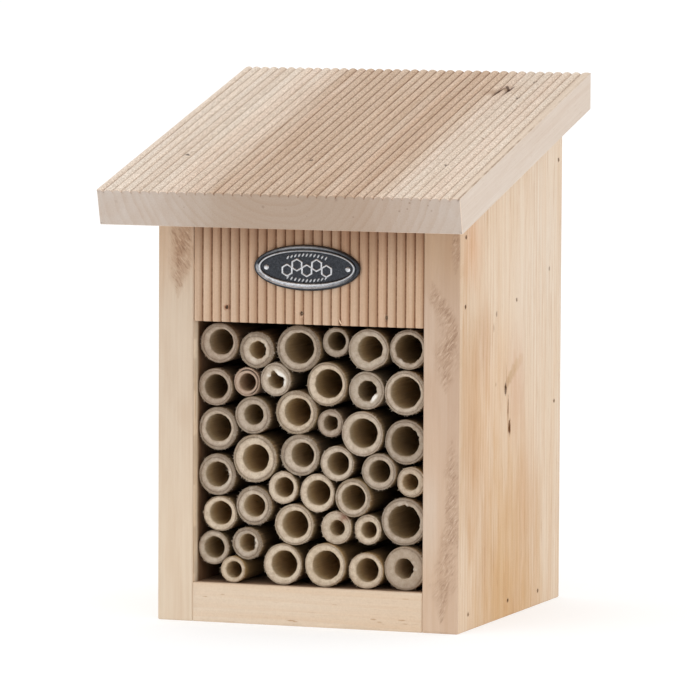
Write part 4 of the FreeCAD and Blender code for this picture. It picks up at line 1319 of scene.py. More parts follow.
def feathered(top, mid, low, lean, light, dark, inside):
    """The front edge of a side board with its torn, feathery grain, and its face in the bay: painted light near the
    front, painted shade further in.
    """
    def add(k, c, h, a, b, g):
        x, y, z = k.sep(k.obj)
        front = k.span(y, YF + 0.75, YF + 0.25, smooth=True)
        # the edge shows upright streaks rather than rings
        v = k.noise(k.com(k.m("MULTIPLY", x, 0.60), 2.0, k.m("MULTIPLY", z, 0.016)), 1.0, 3.0, 0.6)
        w = k.noise(k.com(k.m("MULTIPLY", x, 0.10), 6.0, k.m("MULTIPLY", z, 0.030)), 1.0, 2.0, 0.5, 0.4)
        e = k.mix(k.span(z, 24.0, 105.0, smooth=True), low, mid)
        upper = k.m("ADD", z, k.m("ADD", k.m("MULTIPLY", k.m("SUBTRACT", w, 0.5), 14.0), k.m("MULTIPLY", k.m("ABSOLUTE", x), 0.28)))
        e = k.mix(k.span(upper, 140.0, 168.0, smooth=True), e, top)
        if inside > 0:
            cool = k.m("MULTIPLY", k.span(k.m("ABSOLUTE", k.m("SUBTRACT", z, 45.0)), 26.0, 4.0, smooth=True), k.span(x, 58.0, 52.0, smooth=True))
            e = k.mix(k.m("MULTIPLY", cool, 0.9), e, k.mix(1.0, e, (1.03, 1.12, 1.22), "MULTIPLY"))
            cool = k.m("MULTIPLY", k.span(k.m("ABSOLUTE", k.m("SUBTRACT", z, 116.0)), 20.0, 4.0, smooth=True), k.span(x, 59.0, 53.0, smooth=True))
            e = k.mix(k.m("MULTIPLY", cool, 0.8), e, k.mix(1.0, e, (1.04, 1.09, 1.13), "MULTIPLY"))
        e = k.mix(k.span(v, 0.48, 0.72, 0.0, 0.50), e, k.mix(1.0, e, (0.88, 0.81, 0.74), "MULTIPLY"))
        e = k.mix(k.span(v, 0.50, 0.30, 0.0, 0.50), e, k.mix(1.0, e, (1.08, 1.10, 1.11), "MULTIPLY"))
        e = k.mix(k.span(w, 0.46, 0.68, 0.0, 0.60), e, k.mix(1.0, e, (0.94, 0.90, 0.87), "MULTIPLY"))
        c = k.mix(k.m("MULTIPLY", front, 0.86), c, e)
        if inside > 0:
            half = k.m("MULTIPLY", front, k.span(x, HALF_IN + 3.0, HALF_IN + 12.0, smooth=True))
            c = k.mix(half, c, k.mix(1.0, c, (0.95, 0.93, 0.92), "MULTIPLY"))
        t = k.m("ADD", k.m("MULTIPLY", x, lean[0]), k.m("MULTIPLY", z, lean[1]))
        n = k.m("SUBTRACT", k.m("MULTIPLY", x, lean[1]), k.m("MULTIPLY", z, lean[0]))
        st = k.noise(k.com(k.m("MULTIPLY", t, 1.35), k.m("MULTIPLY", n, 0.30), 0.0), 1.0, 4.0, 0.66, 0.7)
        sf = k.noise(k.com(k.m("MULTIPLY", t, 2.9), k.m("MULTIPLY", n, 0.70), 4.0), 1.0, 3.0, 0.65, 0.4)
        bl = k.noise(k.com(k.m("MULTIPLY", x, 0.30), 9.0, k.m("MULTIPLY", z, 0.16)), 1.0, 2.0, 0.6)
        torn_f = k.m("MULTIPLY", k.m("MULTIPLY", k.attr("torn"), front), k.span(bl, 0.30, 0.50, 0.40, 1.0))
        c = k.mix(k.m("MULTIPLY", torn_f, 0.85), c, dark)
        c = k.mix(k.m("MULTIPLY", torn_f, k.span(st, 0.53, 0.65, 0.0, 0.92)), c, light)
        c = k.mix(k.m("MULTIPLY", torn_f, k.span(st, 0.47, 0.36, 0.0, 0.95)), c, k.mix(1.0, dark, (0.63, 0.57, 0.53), "MULTIPLY"))
        c = k.mix(k.m("MULTIPLY", torn_f, k.span(sf, 0.40, 0.60, 0.32, 0.0)), c, dark)
        h = k.m("ADD", h, k.m("MULTIPLY", torn_f, k.m("ADD", k.m("MULTIPLY", st, 2.6), k.m("MULTIPLY", sf, 1.4))))
        # the faces in the bay: painted light from about a millimetre behind the front edge, a painted shadow step on
        # the left board at about five millimetres, and painted shade from about four to eight millimetres in, dark
        # beyond
        back = k.m("MULTIPLY", k.span(y, YF + 4.2, YF + 7.6, smooth=True), k.span(k.m("MULTIPLY", x, inside), HALF_IN + 1.2, HALF_IN + 0.4))
        lip = k.m("MULTIPLY", k.span(y, YF + 0.6, YF + 1.2), k.span(k.m("MULTIPLY", x, inside), HALF_IN + 1.2, HALF_IN + 0.4))
        c = k.mix(lip, c, k.mix(1.0, c, (1.22, 1.20, 1.16) if inside > 0 else (1.28, 1.36, 1.42), "MULTIPLY"))
        if inside < 0:
            painted_shadow_step = k.m("MULTIPLY", lip, k.span(y, YF + 4.4, YF + 6.0, smooth=True))
            c = k.mix(painted_shadow_step, c, k.mix(1.0, c, (0.80, 0.66, 0.54), "MULTIPLY"))
        c = k.mix(k.m("MULTIPLY", back, 0.86), c, k.mix(1.0, c, (0.23, 0.15, 0.10), "MULTIPLY"))
        return c, h
    return add


def painted_bay_shade(axis, at, side):
    """A board's face that looks into the bay: painted shade, dark past the first few millimetres."""
    def add(k, c, h, a, b, g):
        q = k.sep(k.obj)
        y = q[1]
        m = k.m("MULTIPLY", k.span(y, YF + 0.9, YF + 4.0, smooth=True), k.span(q[axis], at - side * 0.9, at - side * 0.2))
        c = k.mix(k.m("MULTIPLY", m, 0.85), c, k.mix(1.0, c, (0.28, 0.18, 0.12), "MULTIPLY"))
        return c, h
    return add


def ribbed(k, c, amt):
    """No two ribs are quite the same shade."""
    own = k.attr("own")
    c = k.mix(k.span(own, 0.55, 1.0, 0.0, amt), c, k.mix(1.0, c, (0.92, 0.885, 0.845), "MULTIPLY"))
    c = k.mix(k.span(own, 0.45, 0.0, 0.0, amt), c, k.mix(1.0, c, (1.07, 1.07, 1.06), "MULTIPLY"))
    hue = k.m("FRACT", k.m("MULTIPLY", own, 7.31))
    on = k.span(k.m("ABSOLUTE", k.m("SUBTRACT", own, 0.5)), 0.0, 0.03)
    return k.mix(k.m("MULTIPLY", on, k.span(hue, 0.55, 1.0, 0.0, amt)), c, k.mix(1.0, c, (1.0, 0.955, 0.94), "MULTIPLY"))


def ribs_and_painted_roof_shade(k, c, h, a, b, g):
    """Each rib its own tone, a little darker towards both sides, and a painted shadow of the roof: browner near the
    top.
    """
    z = k.sep(k.obj)[2]
    c = ribbed(k, c, 0.9)
    # painted shadow of the roof overhang: browner towards the top
    c = k.mix(k.span(z, 138.0, 170.0, 0.0, 1.0, smooth=True), c, k.mix(1.0, c, (0.56, 0.47, 0.41), "MULTIPLY"))
    c = k.mix(k.span(k.sep(k.obj)[0], 8.0, 40.0, smooth=True), c, k.mix(1.0, c, (0.95, 0.93, 0.90), "MULTIPLY"))
    c = k.mix(k.span(k.sep(k.obj)[0], -14.0, -38.0, smooth=True), c, k.mix(1.0, c, (0.96, 0.96, 0.96), "MULTIPLY"))
    return c, h


RUST = srgb(104, 76, 56)
RX = BODY_W / 2

spots_r = [
    # broad casts: pinkish high at the front, honey low in the middle, pale at the back
    (RX, YF + 16.0, 153.0, 13.0, 22.0, (0.93, 0.75, 0.62), 1.0),
    (RX, YF + 8.0, 100.0, 26.0, 64.0, (0.88, 0.82, 0.75), 1.0),
    (RX, YF + 30.0, 112.0, 11.0, 20.0, (0.90, 0.83, 0.78), 0.9),
    (RX, YF + 72.0, 94.0, 13.0, 26.0, (0.93, 0.84, 0.80), 0.9),
    (RX, YF + 88.0, 50.0, 18.0, 40.0, (0.92, 0.84, 0.77), 0.9),
    (RX, YF + 30.0, 30.0, 12.0, 30.0, (0.93, 0.88, 0.82), 0.8),
    (RX, YF + 100.0, 150.0, 34.0, 70.0, (1.02, 1.06, 1.12), 1.0),
    (RX, YF + 60.0, 4.0, 50.0, 78.0, (0.87, 0.715, 0.50), 1.0),
    (RX, YF + 18.0, 58.0, 20.0, 28.0, (0.90, 0.83, 0.75), 0.9),
    (RX, YF + 22.0, 84.0, 22.0, 52.0, (0.96, 0.86, 0.75), 1.0),
    (RX, YF + 112.0, 120.0, 26.0, 130.0, (1.00, 1.02, 1.04), 0.9),
    (RX, YF + 48.0, 100.0, 16.0, 30.0, (0.97, 0.89, 0.80), 0.8)]
spots_r += [(RX, YF + y, z, 1.6, 1.25, srgb(98, 72, 50), am) for (y, z), am in zip(SIDE_NAILS, (0.70, 0.85, 0.45, 0.40, 0.60, 0.40, 0.70, 0.55))]
spots_r += [(RX, YF + 58.0, 93.2, 2.0, 3.4, srgb(70, 38, 12), 1.0), (RX, YF + 63.3, 77.0, 2.1, 4.6, srgb(122, 80, 42), 0.97),
            (RX, YF + 61.4, 85.0, 0.75, 7.5, srgb(124, 82, 46), 0.85),
            (RX, YF + 58.6, 99.0, 0.6, 6.0, srgb(168, 122, 82), 0.6),
            (RX, YF + 60.5, 95.6, 3.2, 3.0, srgb(172, 130, 86), 0.50), (RX, YF + 63.5, 97.4, 4.0, 3.6, srgb(180, 143, 98), 0.50),
            (RX, YF + 67.5, 99.6, 4.4, 3.8, srgb(184, 147, 102), 0.46), (RX, YF + 72.0, 101.6, 4.4, 3.8, srgb(192, 156, 112), 0.40),
            (RX, YF + 77.0, 103.6, 4.0, 3.6, srgb(198, 160, 120), 0.34),
            (RX, YF + 113.8, 138.3, 1.2, 1.2, RUST, 0.6), (RX, YF + 46.0, 124.3, 1.2, 1.6, srgb(132, 100, 78), 0.7),
            (RX, YF + 42.5, 119.0, 1.0, 2.4, srgb(168, 128, 96), 0.6), (RX, YF + 45.5, 95.8, 1.0, 1.2, srgb(170, 132, 98), 0.6)]
spots_l = [(-RX, YF + y, z, 1.6, 1.25, srgb(98, 72, 50), am) for (y, z), am in zip(SIDE_NAILS_L, (0.60, 0.75, 0.50, 0.60, 0.45, 0.65, 0.40, 0.55))]
# broad casts and two small knots
spots_l = [(-RX, YF + 102.0, 62.0, 26.0, 74.0, (0.93, 0.84, 0.74), 0.9), (-RX, YF + 30.0, 122.0, 18.0, 46.0, (0.95, 0.86, 0.79), 0.9),
           (-RX, YF + 58.0, 12.0, 38.0, 50.0, (0.93, 0.84, 0.71), 0.8), (-RX, YF + 20.0, 44.0, 20.0, 60.0, (1.03, 1.05, 1.07), 0.9),
           (-RX, YF + 74.0, 156.0, 26.0, 60.0, (1.03, 1.05, 1.08), 0.9), (-RX, YF + 66.0, 84.0, 12.0, 40.0, (0.95, 0.88, 0.82), 0.8),
           (-RX, YF + 86.0, 112.0, 4.6, 7.0, srgb(192, 154, 112), 0.55), (-RX, YF + 86.2, 112.4, 1.9, 2.9, srgb(108, 72, 42), 0.9),
           (-RX, YF + 38.0, 63.0, 3.0, 4.6, srgb(198, 162, 122), 0.5), (-RX, YF + 38.2, 62.6, 1.2, 1.8, srgb(122, 84, 52), 0.8)] + spots_l

mat_right = wood("pine_right", upright, (80.0, YF + 70.0), 2.9, srgb(226, 206, 183), srgb(220, 191, 160),
                 srgb(205, 160, 114), 0.26, 0.55, seed=1.0, spots=spots_r, wob=0.7, grit=0.03, lines=0.50,
                 wide=3.0, extra=feathered(srgb(185, 156, 129), srgb(194, 168, 147), srgb(203, 176, 152), (0.82, -0.57),
                                           srgb(219, 194, 171), srgb(174, 144, 120), 1.0))
mat_left = wood("pine_left", upright, (-92.0, YF + 30.0), 3.1, srgb(222, 203, 180), srgb(216, 190, 160),
                srgb(204, 164, 124), 0.50, 0.55, seed=5.0, spots=spots_l, grit=0.02, lines=0.6,
                wide=3.0, extra=feathered(srgb(201, 176, 152), srgb(204, 186, 166), srgb(215, 197, 175), (0.80, 0.60),
                                          srgb(212, 188, 164), srgb(166, 133, 107), -1.0))
mat_floor = wood("pine_floor", crosswise, (YF + 40.0, 60.0), 3.0, srgb(218, 199, 177), srgb(213, 187, 159),
                 srgb(210, 174, 138), 0.24, 0.45, grain_axis=(1, 0, 0), seed=9.0, grit=0.04, fibre=0.6, extra=painted_bay_shade(2, FLOOR_T, 1),
                 spots=[(x, YF, z, w, t, srgb(176, 140, 106), am) for x, z, w, t, am in (
                     (-6.5, 2.2, 2.2, 0.35, 0.8), (-4.6, 1.9, 1.4, 0.3, 0.7), (28.5, 4.4, 1.8, 0.4, 0.7), (31.0, 3.4, 1.6, 0.35, 0.6),
                     (40.5, 4.6, 2.4, 0.35, 0.7), (41.8, 3.2, 1.8, 0.3, 0.6), (-43.5, 10.2, 1.6, 0.3, 0.6), (-36.0, 11.4, 1.4, 0.3, 0.5),
                     (12.0, 9.5, 1.6, 0.25, 0.4), (42.0, 13.2, 2.0, 0.3, 0.5))])
mat_back = wood("pine_back", upright, (12.0, 130.0), 3.2, srgb(226, 204, 179), srgb(217, 186, 152),
                srgb(200, 158, 118), 0.42, 0.6, seed=13.0, grit=0.03)
mat_ceil = wood("pine_ceiling", crosswise, (YF + 70.0, 175.0), 3.0, srgb(226, 204, 179), srgb(216, 184, 150),
                srgb(200, 158, 118), 0.4, 0.5, grain_axis=(1, 0, 0), seed=17.0, grit=0.04, extra=painted_bay_shade(2, BAY_TOP, -1))
mat_front = wood("pine_reeded_front", upright, (10.0, YF + 120.0), 2.6, srgb(207, 181, 157), srgb(200, 168, 140),
                 srgb(190, 154, 124), 0.36, 0.6, seed=21.0, groove=0.84, grit=0.05, extra=ribs_and_painted_roof_shade, painted_flank_shade=0.85,
                 spots=[(x, YF + 0.4, z, r, t, q, am) for (x, z), (r, t, q, am) in zip(FRONT_NAILS, (
                     (1.7, 1.9, srgb(146, 92, 62), 0.75), (1.1, 1.4, srgb(112, 92, 76), 0.6), (0.9, 2.6, srgb(112, 80, 56), 0.8)))]
                 # the hole torn out under the splinter, dark: partly torn wood, partly painted shade; beside it a
                 # painted shadow of the splinter; then the splinter's pale torn wood
                 + [(13.35, YF + 0.6, BAY_TOP + 1.4, 0.75, 1.4, srgb(118, 80, 54), 0.85), (13.8, YF + 0.6, BAY_TOP + 0.7, 0.65, 0.8, srgb(128, 90, 64), 0.75),
                    (15.0, YF + 0.5, BAY_TOP + 0.9, 0.6, 1.0, srgb(150, 116, 86), 0.5),
                    (13.9, YF - 0.60, BAY_TOP + 1.7, 0.85, 1.3, srgb(240, 208, 178), 0.9), (14.45, YF - 0.85, BAY_TOP + 0.95, 0.85, 1.1, srgb(240, 208, 178), 0.9)])


def heart(k, a, b, g, streak, fib, end):
    """Reddish heartwood down the middle of the roof: sharp on its right, soft on its left."""
    rib = k.noise(k.com(k.m("MULTIPLY", a, 0.26), 3.0, k.m("MULTIPLY", g, 0.010)), 1.0, 2.0, 0.6)
    wav = k.m("ADD", k.m("MULTIPLY", k.m("SUBTRACT", streak, 0.5), 8.0), k.m("MULTIPLY", k.m("SUBTRACT", rib, 0.5), 18.0))
    left = k.span(k.m("ADD", a, wav), -47.0, -16.0, smooth=True)
    edge = k.m("ADD", k.m("ADD", a, k.m("MULTIPLY", k.m("SUBTRACT", fib, 0.5), 2.0)), k.m("MULTIPLY", wav, 0.45))
    right = k.span(edge, 48.5, 38.5, smooth=True)
    face = k.m("MULTIPLY", k.m("MULTIPLY", left, right), k.span(rib, 0.30, 0.70, 0.62, 1.14))
    # across the sawn ends it is only a soft brown cast
    cast = k.m("MULTIPLY", k.span(k.m("ADD", a, wav), -66.0, -8.0, smooth=True), k.span(k.m("ADD", a, wav), 84.0, 24.0, smooth=True))
    return k.m("ADD", k.m("MULTIPLY", face, k.m("SUBTRACT", 1.0, end)), k.m("MULTIPLY", k.m("MULTIPLY", cast, 1.05), end), clamp=True)


def bleached(k, c, h, a, b, g):
    """The roof's long edges are plain and even."""
    c = ribbed(k, c, 0.8)
    side = k.span(k.m("ABSOLUTE", k.sep(k.true_normal())[0]), 0.86, 0.98)
    c = k.mix(side, c, k.mix(1.0, c, (0.875, 0.875, 0.895), "MULTIPLY"))
    x, y, z = k.sep(k.obj)
    rim = k.m("MULTIPLY", k.m("MULTIPLY", k.span(x, 74.6, 75.2), k.attr("groove")), k.m("SUBTRACT", 1.0, side))
    c = k.mix(k.m("MULTIPLY", rim, 0.8), c, k.mix(1.0, c, (0.55, 0.48, 0.42), "MULTIPLY"))
    at_end = TOP_FRONT.dot(RUN)
    front = k.span(g, at_end + 0.6, at_end + 0.15)
    left = k.m("MULTIPLY", k.m("MULTIPLY", k.span(x, -40.0, -54.0, smooth=True), k.m("SUBTRACT", 1.0, side)), k.m("SUBTRACT", 1.0, front))
    c = k.mix(left, c, k.mix(1.0, c, (1.012, 1.03, 1.05), "MULTIPLY"))
    far = k.m("MULTIPLY", k.span(y, -20.0, 60.0, smooth=True), k.span(x, 40.0, 56.0, smooth=True))
    c = k.mix(k.m("MULTIPLY", far, k.m("SUBTRACT", 1.0, side)), c, k.mix(1.0, c, (0.945, 0.94, 0.935), "MULTIPLY"))
    c = k.mix(front, c, k.mix(1.0, c, (0.98, 0.965, 0.965), "MULTIPLY"))
    mid = k.m("MULTIPLY", front, k.span(k.m("ABSOLUTE", k.m("ADD", x, 4.0)), 52.0, 20.0, smooth=True))
    c = k.mix(mid, c, k.mix(1.0, c, (0.965, 0.985, 0.99), "MULTIPLY"))
    # the dark rim of the knot
    rag = k.m("MULTIPLY", k.m("SUBTRACT", k.noise(k.obj, 1.1, 2.0), 0.5), 0.55)
    for (x0, s0), (x1, s1), w, _, dark in KNOT_RIM:
        dx, ds = x1 - x0, s1 - s0
        ex, es = k.m("SUBTRACT", a, x0), k.m("SUBTRACT", g, at_end + s0)
        t = k.m("DIVIDE", k.m("ADD", k.m("MULTIPLY", ex, dx), k.m("MULTIPLY", es, ds)), dx * dx + ds * ds, clamp=True)
        fx, fs = k.m("SUBTRACT", ex, k.m("MULTIPLY", t, dx)), k.m("SUBTRACT", es, k.m("MULTIPLY", t, ds))
        dist = k.m("ADD", k.m("SQRT", k.m("ADD", k.m("MULTIPLY", fx, fx), k.m("MULTIPLY", fs, fs))), rag)
        c = k.mix(k.m("MULTIPLY", k.span(dist, w, w * 0.35, smooth=True), dark), c, srgb(80, 50, 30))
    return c, h


def on_end(x, h, rad, tint, amt):
    """A mark on the roof's front end, h below its top edge."""
    q = TOP_FRONT - NORMAL * h
    return (x, q.y, q.z, rad, rad, tint, amt)


roof_spots = [(x, YF + y, under_z(y) + (ROOF_T - 0.3) / COS, 1.35, 1.35, srgb(66, 46, 33), 1.0) for x, y in ROOF_NAILS]
roof_spots += [on_end(x, h, q, srgb(128, 104, 86), am * 0.6) for x, h, q, am in (
    (55.3, 2.4, 0.6, 0.9), (54.1, 4.9, 0.5, 0.8), (50.7, 5.9, 0.6, 0.8), (62.8, 3.3, 0.5, 0.8), (64.1, 5.4, 0.5, 0.6),
    (31.4, 8.8, 0.5, 0.7), (-68.3, 5.0, 0.9, 0.25), (-41.0, 2.2, 0.5, 0.6), (-39.5, 6.6, 0.5, 0.4),
    (-6.0, 5.6, 0.8, 0.6), (24.8, 1.9, 0.9, 0.6), (3.5, 6.4, 0.5, 0.4), (12.0, 9.0, 0.5, 0.4))]


def on_roof(x, run, rad, tint, amt):
    """A mark on the roof's top, run behind its front edge."""
    q = TOP_FRONT + RUN * run - NORMAL * 0.3
    return (x, q.y, q.z, rad, max(rad, 2.0), tint, amt)


# the knot: a brown cast beside it and a dull middle; its rim is in the strokes
roof_spots += [on_roof(47.5, 145.0, 9.0, (0.93, 0.88, 0.84), 0.9), on_roof(42.6, 141.0, 4.6, srgb(170, 138, 112), 0.65),
               on_roof(46.9, 146.6, 2.9, srgb(160, 132, 106), 0.8)]
roof_spots += [on_roof(60.6, 116.8, 0.9, srgb(120, 92, 70), 0.8), on_roof(60.4, 119.0, 0.7, srgb(120, 92, 70), 0.6),
               on_roof(59.4, 78.9, 0.9, srgb(150, 122, 98), 0.7)]
mat_roof = wood("pine_reeded_roof", sloped, (0.0, 212.0), 3.4, srgb(232, 217, 201), srgb(226, 207, 188),
                srgb(208, 182, 158), 0.28, 0.5, grain_axis=tuple(RUN), seed=29.0, groove=0.94, band=heart, grit=0.34, grit_on=tuple(NORMAL),
                spots=roof_spots, end_tint=(0.72, 0.735, 0.77), end_ring=1.5, relief=0.7, extra=bleached, calm_x=72.4)


def bamboo(name):
    k = Look(name)
    rf, zone, dep, mem = (k.attr(q) for q in ("rf", "zone", "dep", "mem"))
    tone, warm, pink, grey, stain, sdx = (k.attr(q) for q in ("tone", "warm", "pink", "grey", "stain", "sdx"))
    off = k.vm("ADD", k.obj, k.com(k.m("MULTIPLY", sdx, 31.0), 0.0, k.m("MULTIPLY", sdx, 17.0)))
    x, y, z = k.sep(off)
    # sawn face: pale pith side, fibre bundles thickening to a darker line, grey skin
    face = k.ramp(rf, [(0.0, srgb(206, 190, 170)), (0.12, srgb(202, 186, 167)), (0.34, srgb(200, 184, 166)),
                       (0.52, srgb(190, 173, 155)), (0.64, srgb(170, 153, 136)), (0.715, srgb(140, 124, 108)),
                       (0.745, srgb(114, 99, 84)), (0.785, srgb(161, 144, 127)), (0.90, srgb(166, 149, 131)), (1.0, srgb(122, 107, 92))])
    ring = k.span(rf, 0.50, 0.78, smooth=True)
    face = k.mix(k.m("MULTIPLY", k.span(k.attr("skin"), 0.0, 1.0), ring), face, k.mix(1.0, face, (0.72, 0.69, 0.66), "MULTIPLY"))
    face = k.mix(k.m("MULTIPLY", k.span(k.attr("skin"), 0.0, -1.0), ring), face, k.mix(1.0, face, (1.26, 1.27, 1.29), "MULTIPLY"))
    face = k.mix(k.m("MULTIPLY", k.attr("plain"), k.span(rf, 0.80, 0.52)), face, k.mix(1.0, face, (0.86, 0.86, 0.86), "MULTIPLY"))
    dots = k.voronoi(k.com(k.m("MULTIPLY", x, 2.1), k.m("MULTIPLY", y, 0.02), k.m("MULTIPLY", z, 2.1)), 1.0)
    face = k.mix(k.m("MULTIPLY", k.span(dots, 0.34, 0.10), k.span(rf, 0.10, 0.8, 0.20, 0.60)), face, srgb(124, 106, 88))
    mott = k.noise(k.com(x, k.m("MULTIPLY", y, 0.1), z), 0.55, 3.0, 0.6)
    face = k.mix(k.span(mott, 0.44, 0.70, 0.0, 0.55), face, srgb(158, 138, 116))
    face = k.mix(k.span(mott, 0.50, 0.28, 0.0, 0.40), face, srgb(212, 198, 178))
    fuzz = k.noise(k.com(x, k.m("MULTIPLY", y, 0.3), z), 3.6, 3.0, 0.7)
    skinny = k.span(rf, 0.60, 0.80, 0.45, 1.0)
    face = k.mix(k.m("MULTIPLY", k.span(fuzz, 0.36, 0.56, 0.46, 0.0), skinny), face, srgb(126, 110, 92))
    face = k.mix(k.m("MULTIPLY", k.span(fuzz, 0.54, 0.74, 0.0, 0.50), skinny), face, srgb(226, 214, 196))
    # bore: pale silk near the mouth, browner further in
    silk = k.noise(k.com(k.m("MULTIPLY", x, 1.6), k.m("MULTIPLY", y, 0.06), k.m("MULTIPLY", z, 1.6)), 1.0, 3.0)
    bore = k.ramp(k.span(dep, 0.0, 40.0), [(0.0, srgb(196, 180, 158)), (0.05, srgb(184, 165, 137)), (0.16, srgb(178, 152, 114)),
                                           (0.45, srgb(188, 160, 120)), (1.0, srgb(182, 152, 110))])
    bore = k.mix(k.span(silk, 0.35, 0.65, 0.30, 0.0), bore, srgb(150, 122, 86))
    # painted shade in some canes' bores, painted light in others
    bore = k.mix(k.span(k.attr("pit"), 0.0, -1.0), bore, k.mix(1.0, bore, (0.74, 0.70, 0.64), "MULTIPLY"))
    bore = k.mix(k.span(k.attr("pit"), 0.0, 1.0), bore, k.mix(1.0, bore, (1.22, 1.24, 1.26), "MULTIPLY"))
    # outside: dull straw skin with fine lines, and painted shade between the canes behind the mouth, fading towards the
    # back end
    line = k.noise(k.com(k.m("MULTIPLY", x, 1.5), k.m("MULTIPLY", y, 0.018), k.m("MULTIPLY", z, 1.5)), 1.0, 4.0, 0.6)
    skin = k.mix(k.span(line, 0.35, 0.65), srgb(124, 100, 74), srgb(170, 144, 110))
    patch = k.noise(k.com(k.m("MULTIPLY", x, 0.16), k.m("MULTIPLY", y, 0.05), k.m("MULTIPLY", z, 0.16)), 1.0, 2.0)
    skin = k.mix(k.span(patch, 0.42, 0.64, 0.0, 0.45), skin, srgb(120, 110, 82))
    skin = k.mix(k.m("MULTIPLY", warm, 0.8), skin, srgb(196, 156, 96))
    skin = k.mix(k.span(dep, 0.3, 1.6, 0.0, 0.50), skin, k.mix(1.0, skin, (0.50, 0.45, 0.41), "MULTIPLY"))
    shade_reach = k.m("ADD", dep, k.m("MULTIPLY", k.m("SUBTRACT", patch, 0.5), 40.0))
    grime_and_shade = k.m("MULTIPLY", k.span(dep, 1.0, 6.0, smooth=True), k.span(shade_reach, 78.0, 8.0, 0.30, 1.0, smooth=True))
    skin = k.mix(grime_and_shade, skin, k.mix(1.0, skin, (0.44, 0.39, 0.33), "MULTIPLY"))
    c = k.mix(k.span(zone, 0.3, 0.7), skin, face)
    c = k.mix(k.span(zone, 1.4, 1.7), c, bore)
    c = k.mix(k.span(zone, 2.7, 2.9), c, face)
    # each cane's own cast
    c = k.mix(k.span(tone, 0.0, 0.45, 0.85, 0.0), c, k.mix(1.0, c, (0.76, 0.74, 0.73), "MULTIPLY"))
    c = k.mix(k.span(tone, 0.6, 1.0, 0.0, 0.9), c, k.mix(1.0, c, (1.13, 1.12, 1.08), "MULTIPLY"))
    c = k.mix(k.m("MULTIPLY", pink, k.span(fuzz, 0.35, 0.65, 0.25, 0.55)), c, srgb(200, 164, 142))
    c = k.mix(k.m("MULTIPLY", grey, 0.40), c, srgb(164, 151, 136))
    c = k.mix(k.m("MULTIPLY", warm, 0.22), c, srgb(208, 176, 128))
    c = k.mix(k.m("MULTIPLY", stain, k.span(mott, 0.35, 0.55, 0.5, 1.0)), c, srgb(140, 100, 80))
    # painted shade in the split of the cut face
    c = k.mix(k.m("MULTIPLY", k.attr("split_shade"), 0.92), c, srgb(56, 42, 33))
    c = k.mix(k.span(mem, 0.2, 1.0, 0.0, 0.85), c, srgb(226, 218, 206))
    c = k.mix(k.span(mem, 1.1, 1.5), c, srgb(242, 236, 228))
    h = k.m("ADD", k.m("MULTIPLY", fuzz, 1.3), k.m("MULTIPLY", k.span(dots, 0.3, 0.05), -0.8))
    hs = k.m("MULTIPLY", line, 1.2)
    onface = k.m("MULTIPLY", k.span(zone, 0.3, 0.7), k.span(zone, 1.7, 1.4))
    hh = k.m("ADD", k.m("MULTIPLY", h, onface), k.m("MULTIPLY", hs, k.m("SUBTRACT", 1.0, onface)))
    nor = k.bump(hh, 0.00026, 0.7)
    ro = k.m("ADD", k.m("MULTIPLY", onface, 0.30), k.m("ADD", 0.46, k.m("MULTIPLY", fuzz, 0.16)), clamp=True)
    return k.done(c, ro, nor, spec=0.28, mean=srgb(180, 163, 144))


def metal(name, dark, light, mask, r_dark, r_light, spec=0.5, met=0.9):
    k = Look(name)
    wear = k.noise(k.obj, 1.1, 4.0, 0.65)
    fine = k.noise(k.obj, 6.0, 3.0, 0.6)
    if mask:
        b = k.attr("bright")
        b = k.m("MULTIPLY", b, k.span(wear, 0.34, 0.60, 0.66, 1.0))
        b = k.m("ADD", b, k.m("MULTIPLY", k.span(fine, 0.58, 0.74), 0.16), clamp=True)
    else:
        b = k.span(wear, 0.35, 0.7)
    c = k.mix(k.span(wear, 0.40, 0.66, 0.0, 0.8), dark, k.mix(1.0, dark, (1.9, 1.95, 2.0), "MULTIPLY"))
    c = k.mix(b, c, light)
    c = k.mix(k.span(fine, 0.4, 0.7, 0.0, 0.35), c, k.mix(1.0, c, (0.66, 0.68, 0.72), "MULTIPLY"))
    ro = k.m("ADD", k.span(b, 0.0, 1.0, r_dark, r_light), k.m("MULTIPLY", k.m("SUBTRACT", fine, 0.5), 0.22), clamp=True)
    nor = k.bump(k.m("ADD", k.m("MULTIPLY", wear, 1.6), k.m("MULTIPLY", fine, 0.5)), 0.00014, 0.7)
    return k.done(c, ro, nor, metallic=met, spec=spec, mean=dark)


mat_bamboo = bamboo("bamboo_cut")
mat_plaque = metal("plaque_patina", srgb(50, 52, 56), srgb(240, 241, 244), True, 0.34, 0.22)
mat_pin = metal("pin_satin", srgb(160, 162, 165), srgb(248, 249, 251), False, 0.32, 0.18)
mat_nail = metal("brad_dull", srgb(96, 79, 62), srgb(148, 128, 107), False, 0.62, 0.48)

USE = {
    "right_side_board": (mat_right, "side_board"), "left_side_board": (mat_left, "side_board"),
    "floor_board": (mat_floor, "floor_board"), "back_board": (mat_back, "back_board"),
    "ceiling_board": (mat_ceil, "back_board"), "front_board": (mat_front, "reeded_front"),
    "roof_board": (mat_roof, "reeded_roof"), "oval_plaque": (mat_plaque, "plaque_metal"),
    "plaque_pins": (mat_pin, "pin_steel"), "side_nails_right": (mat_nail, "nail_steel"),
    "side_nails_left": (mat_nail, "nail_steel"), "roof_nails": (mat_nail, "nail_steel"),
    "front_board_nails": (mat_nail, "nail_steel"),
}
SHARP = {"oval_plaque": 70.0, "roof_board": 44.0, "front_board": 44.0}
for node, ob in pieces.items():
    mat, slot = USE.get(node, (mat_bamboo, "bamboo"))
    tidy(ob, SHARP.get(node, 50.0))
    ob.data.materials.clear()
    ob.data.materials.append(mat)
    body = "casing" if node in USE else "tube_" + node[-2:]
    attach(ob, body)
    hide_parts(node)

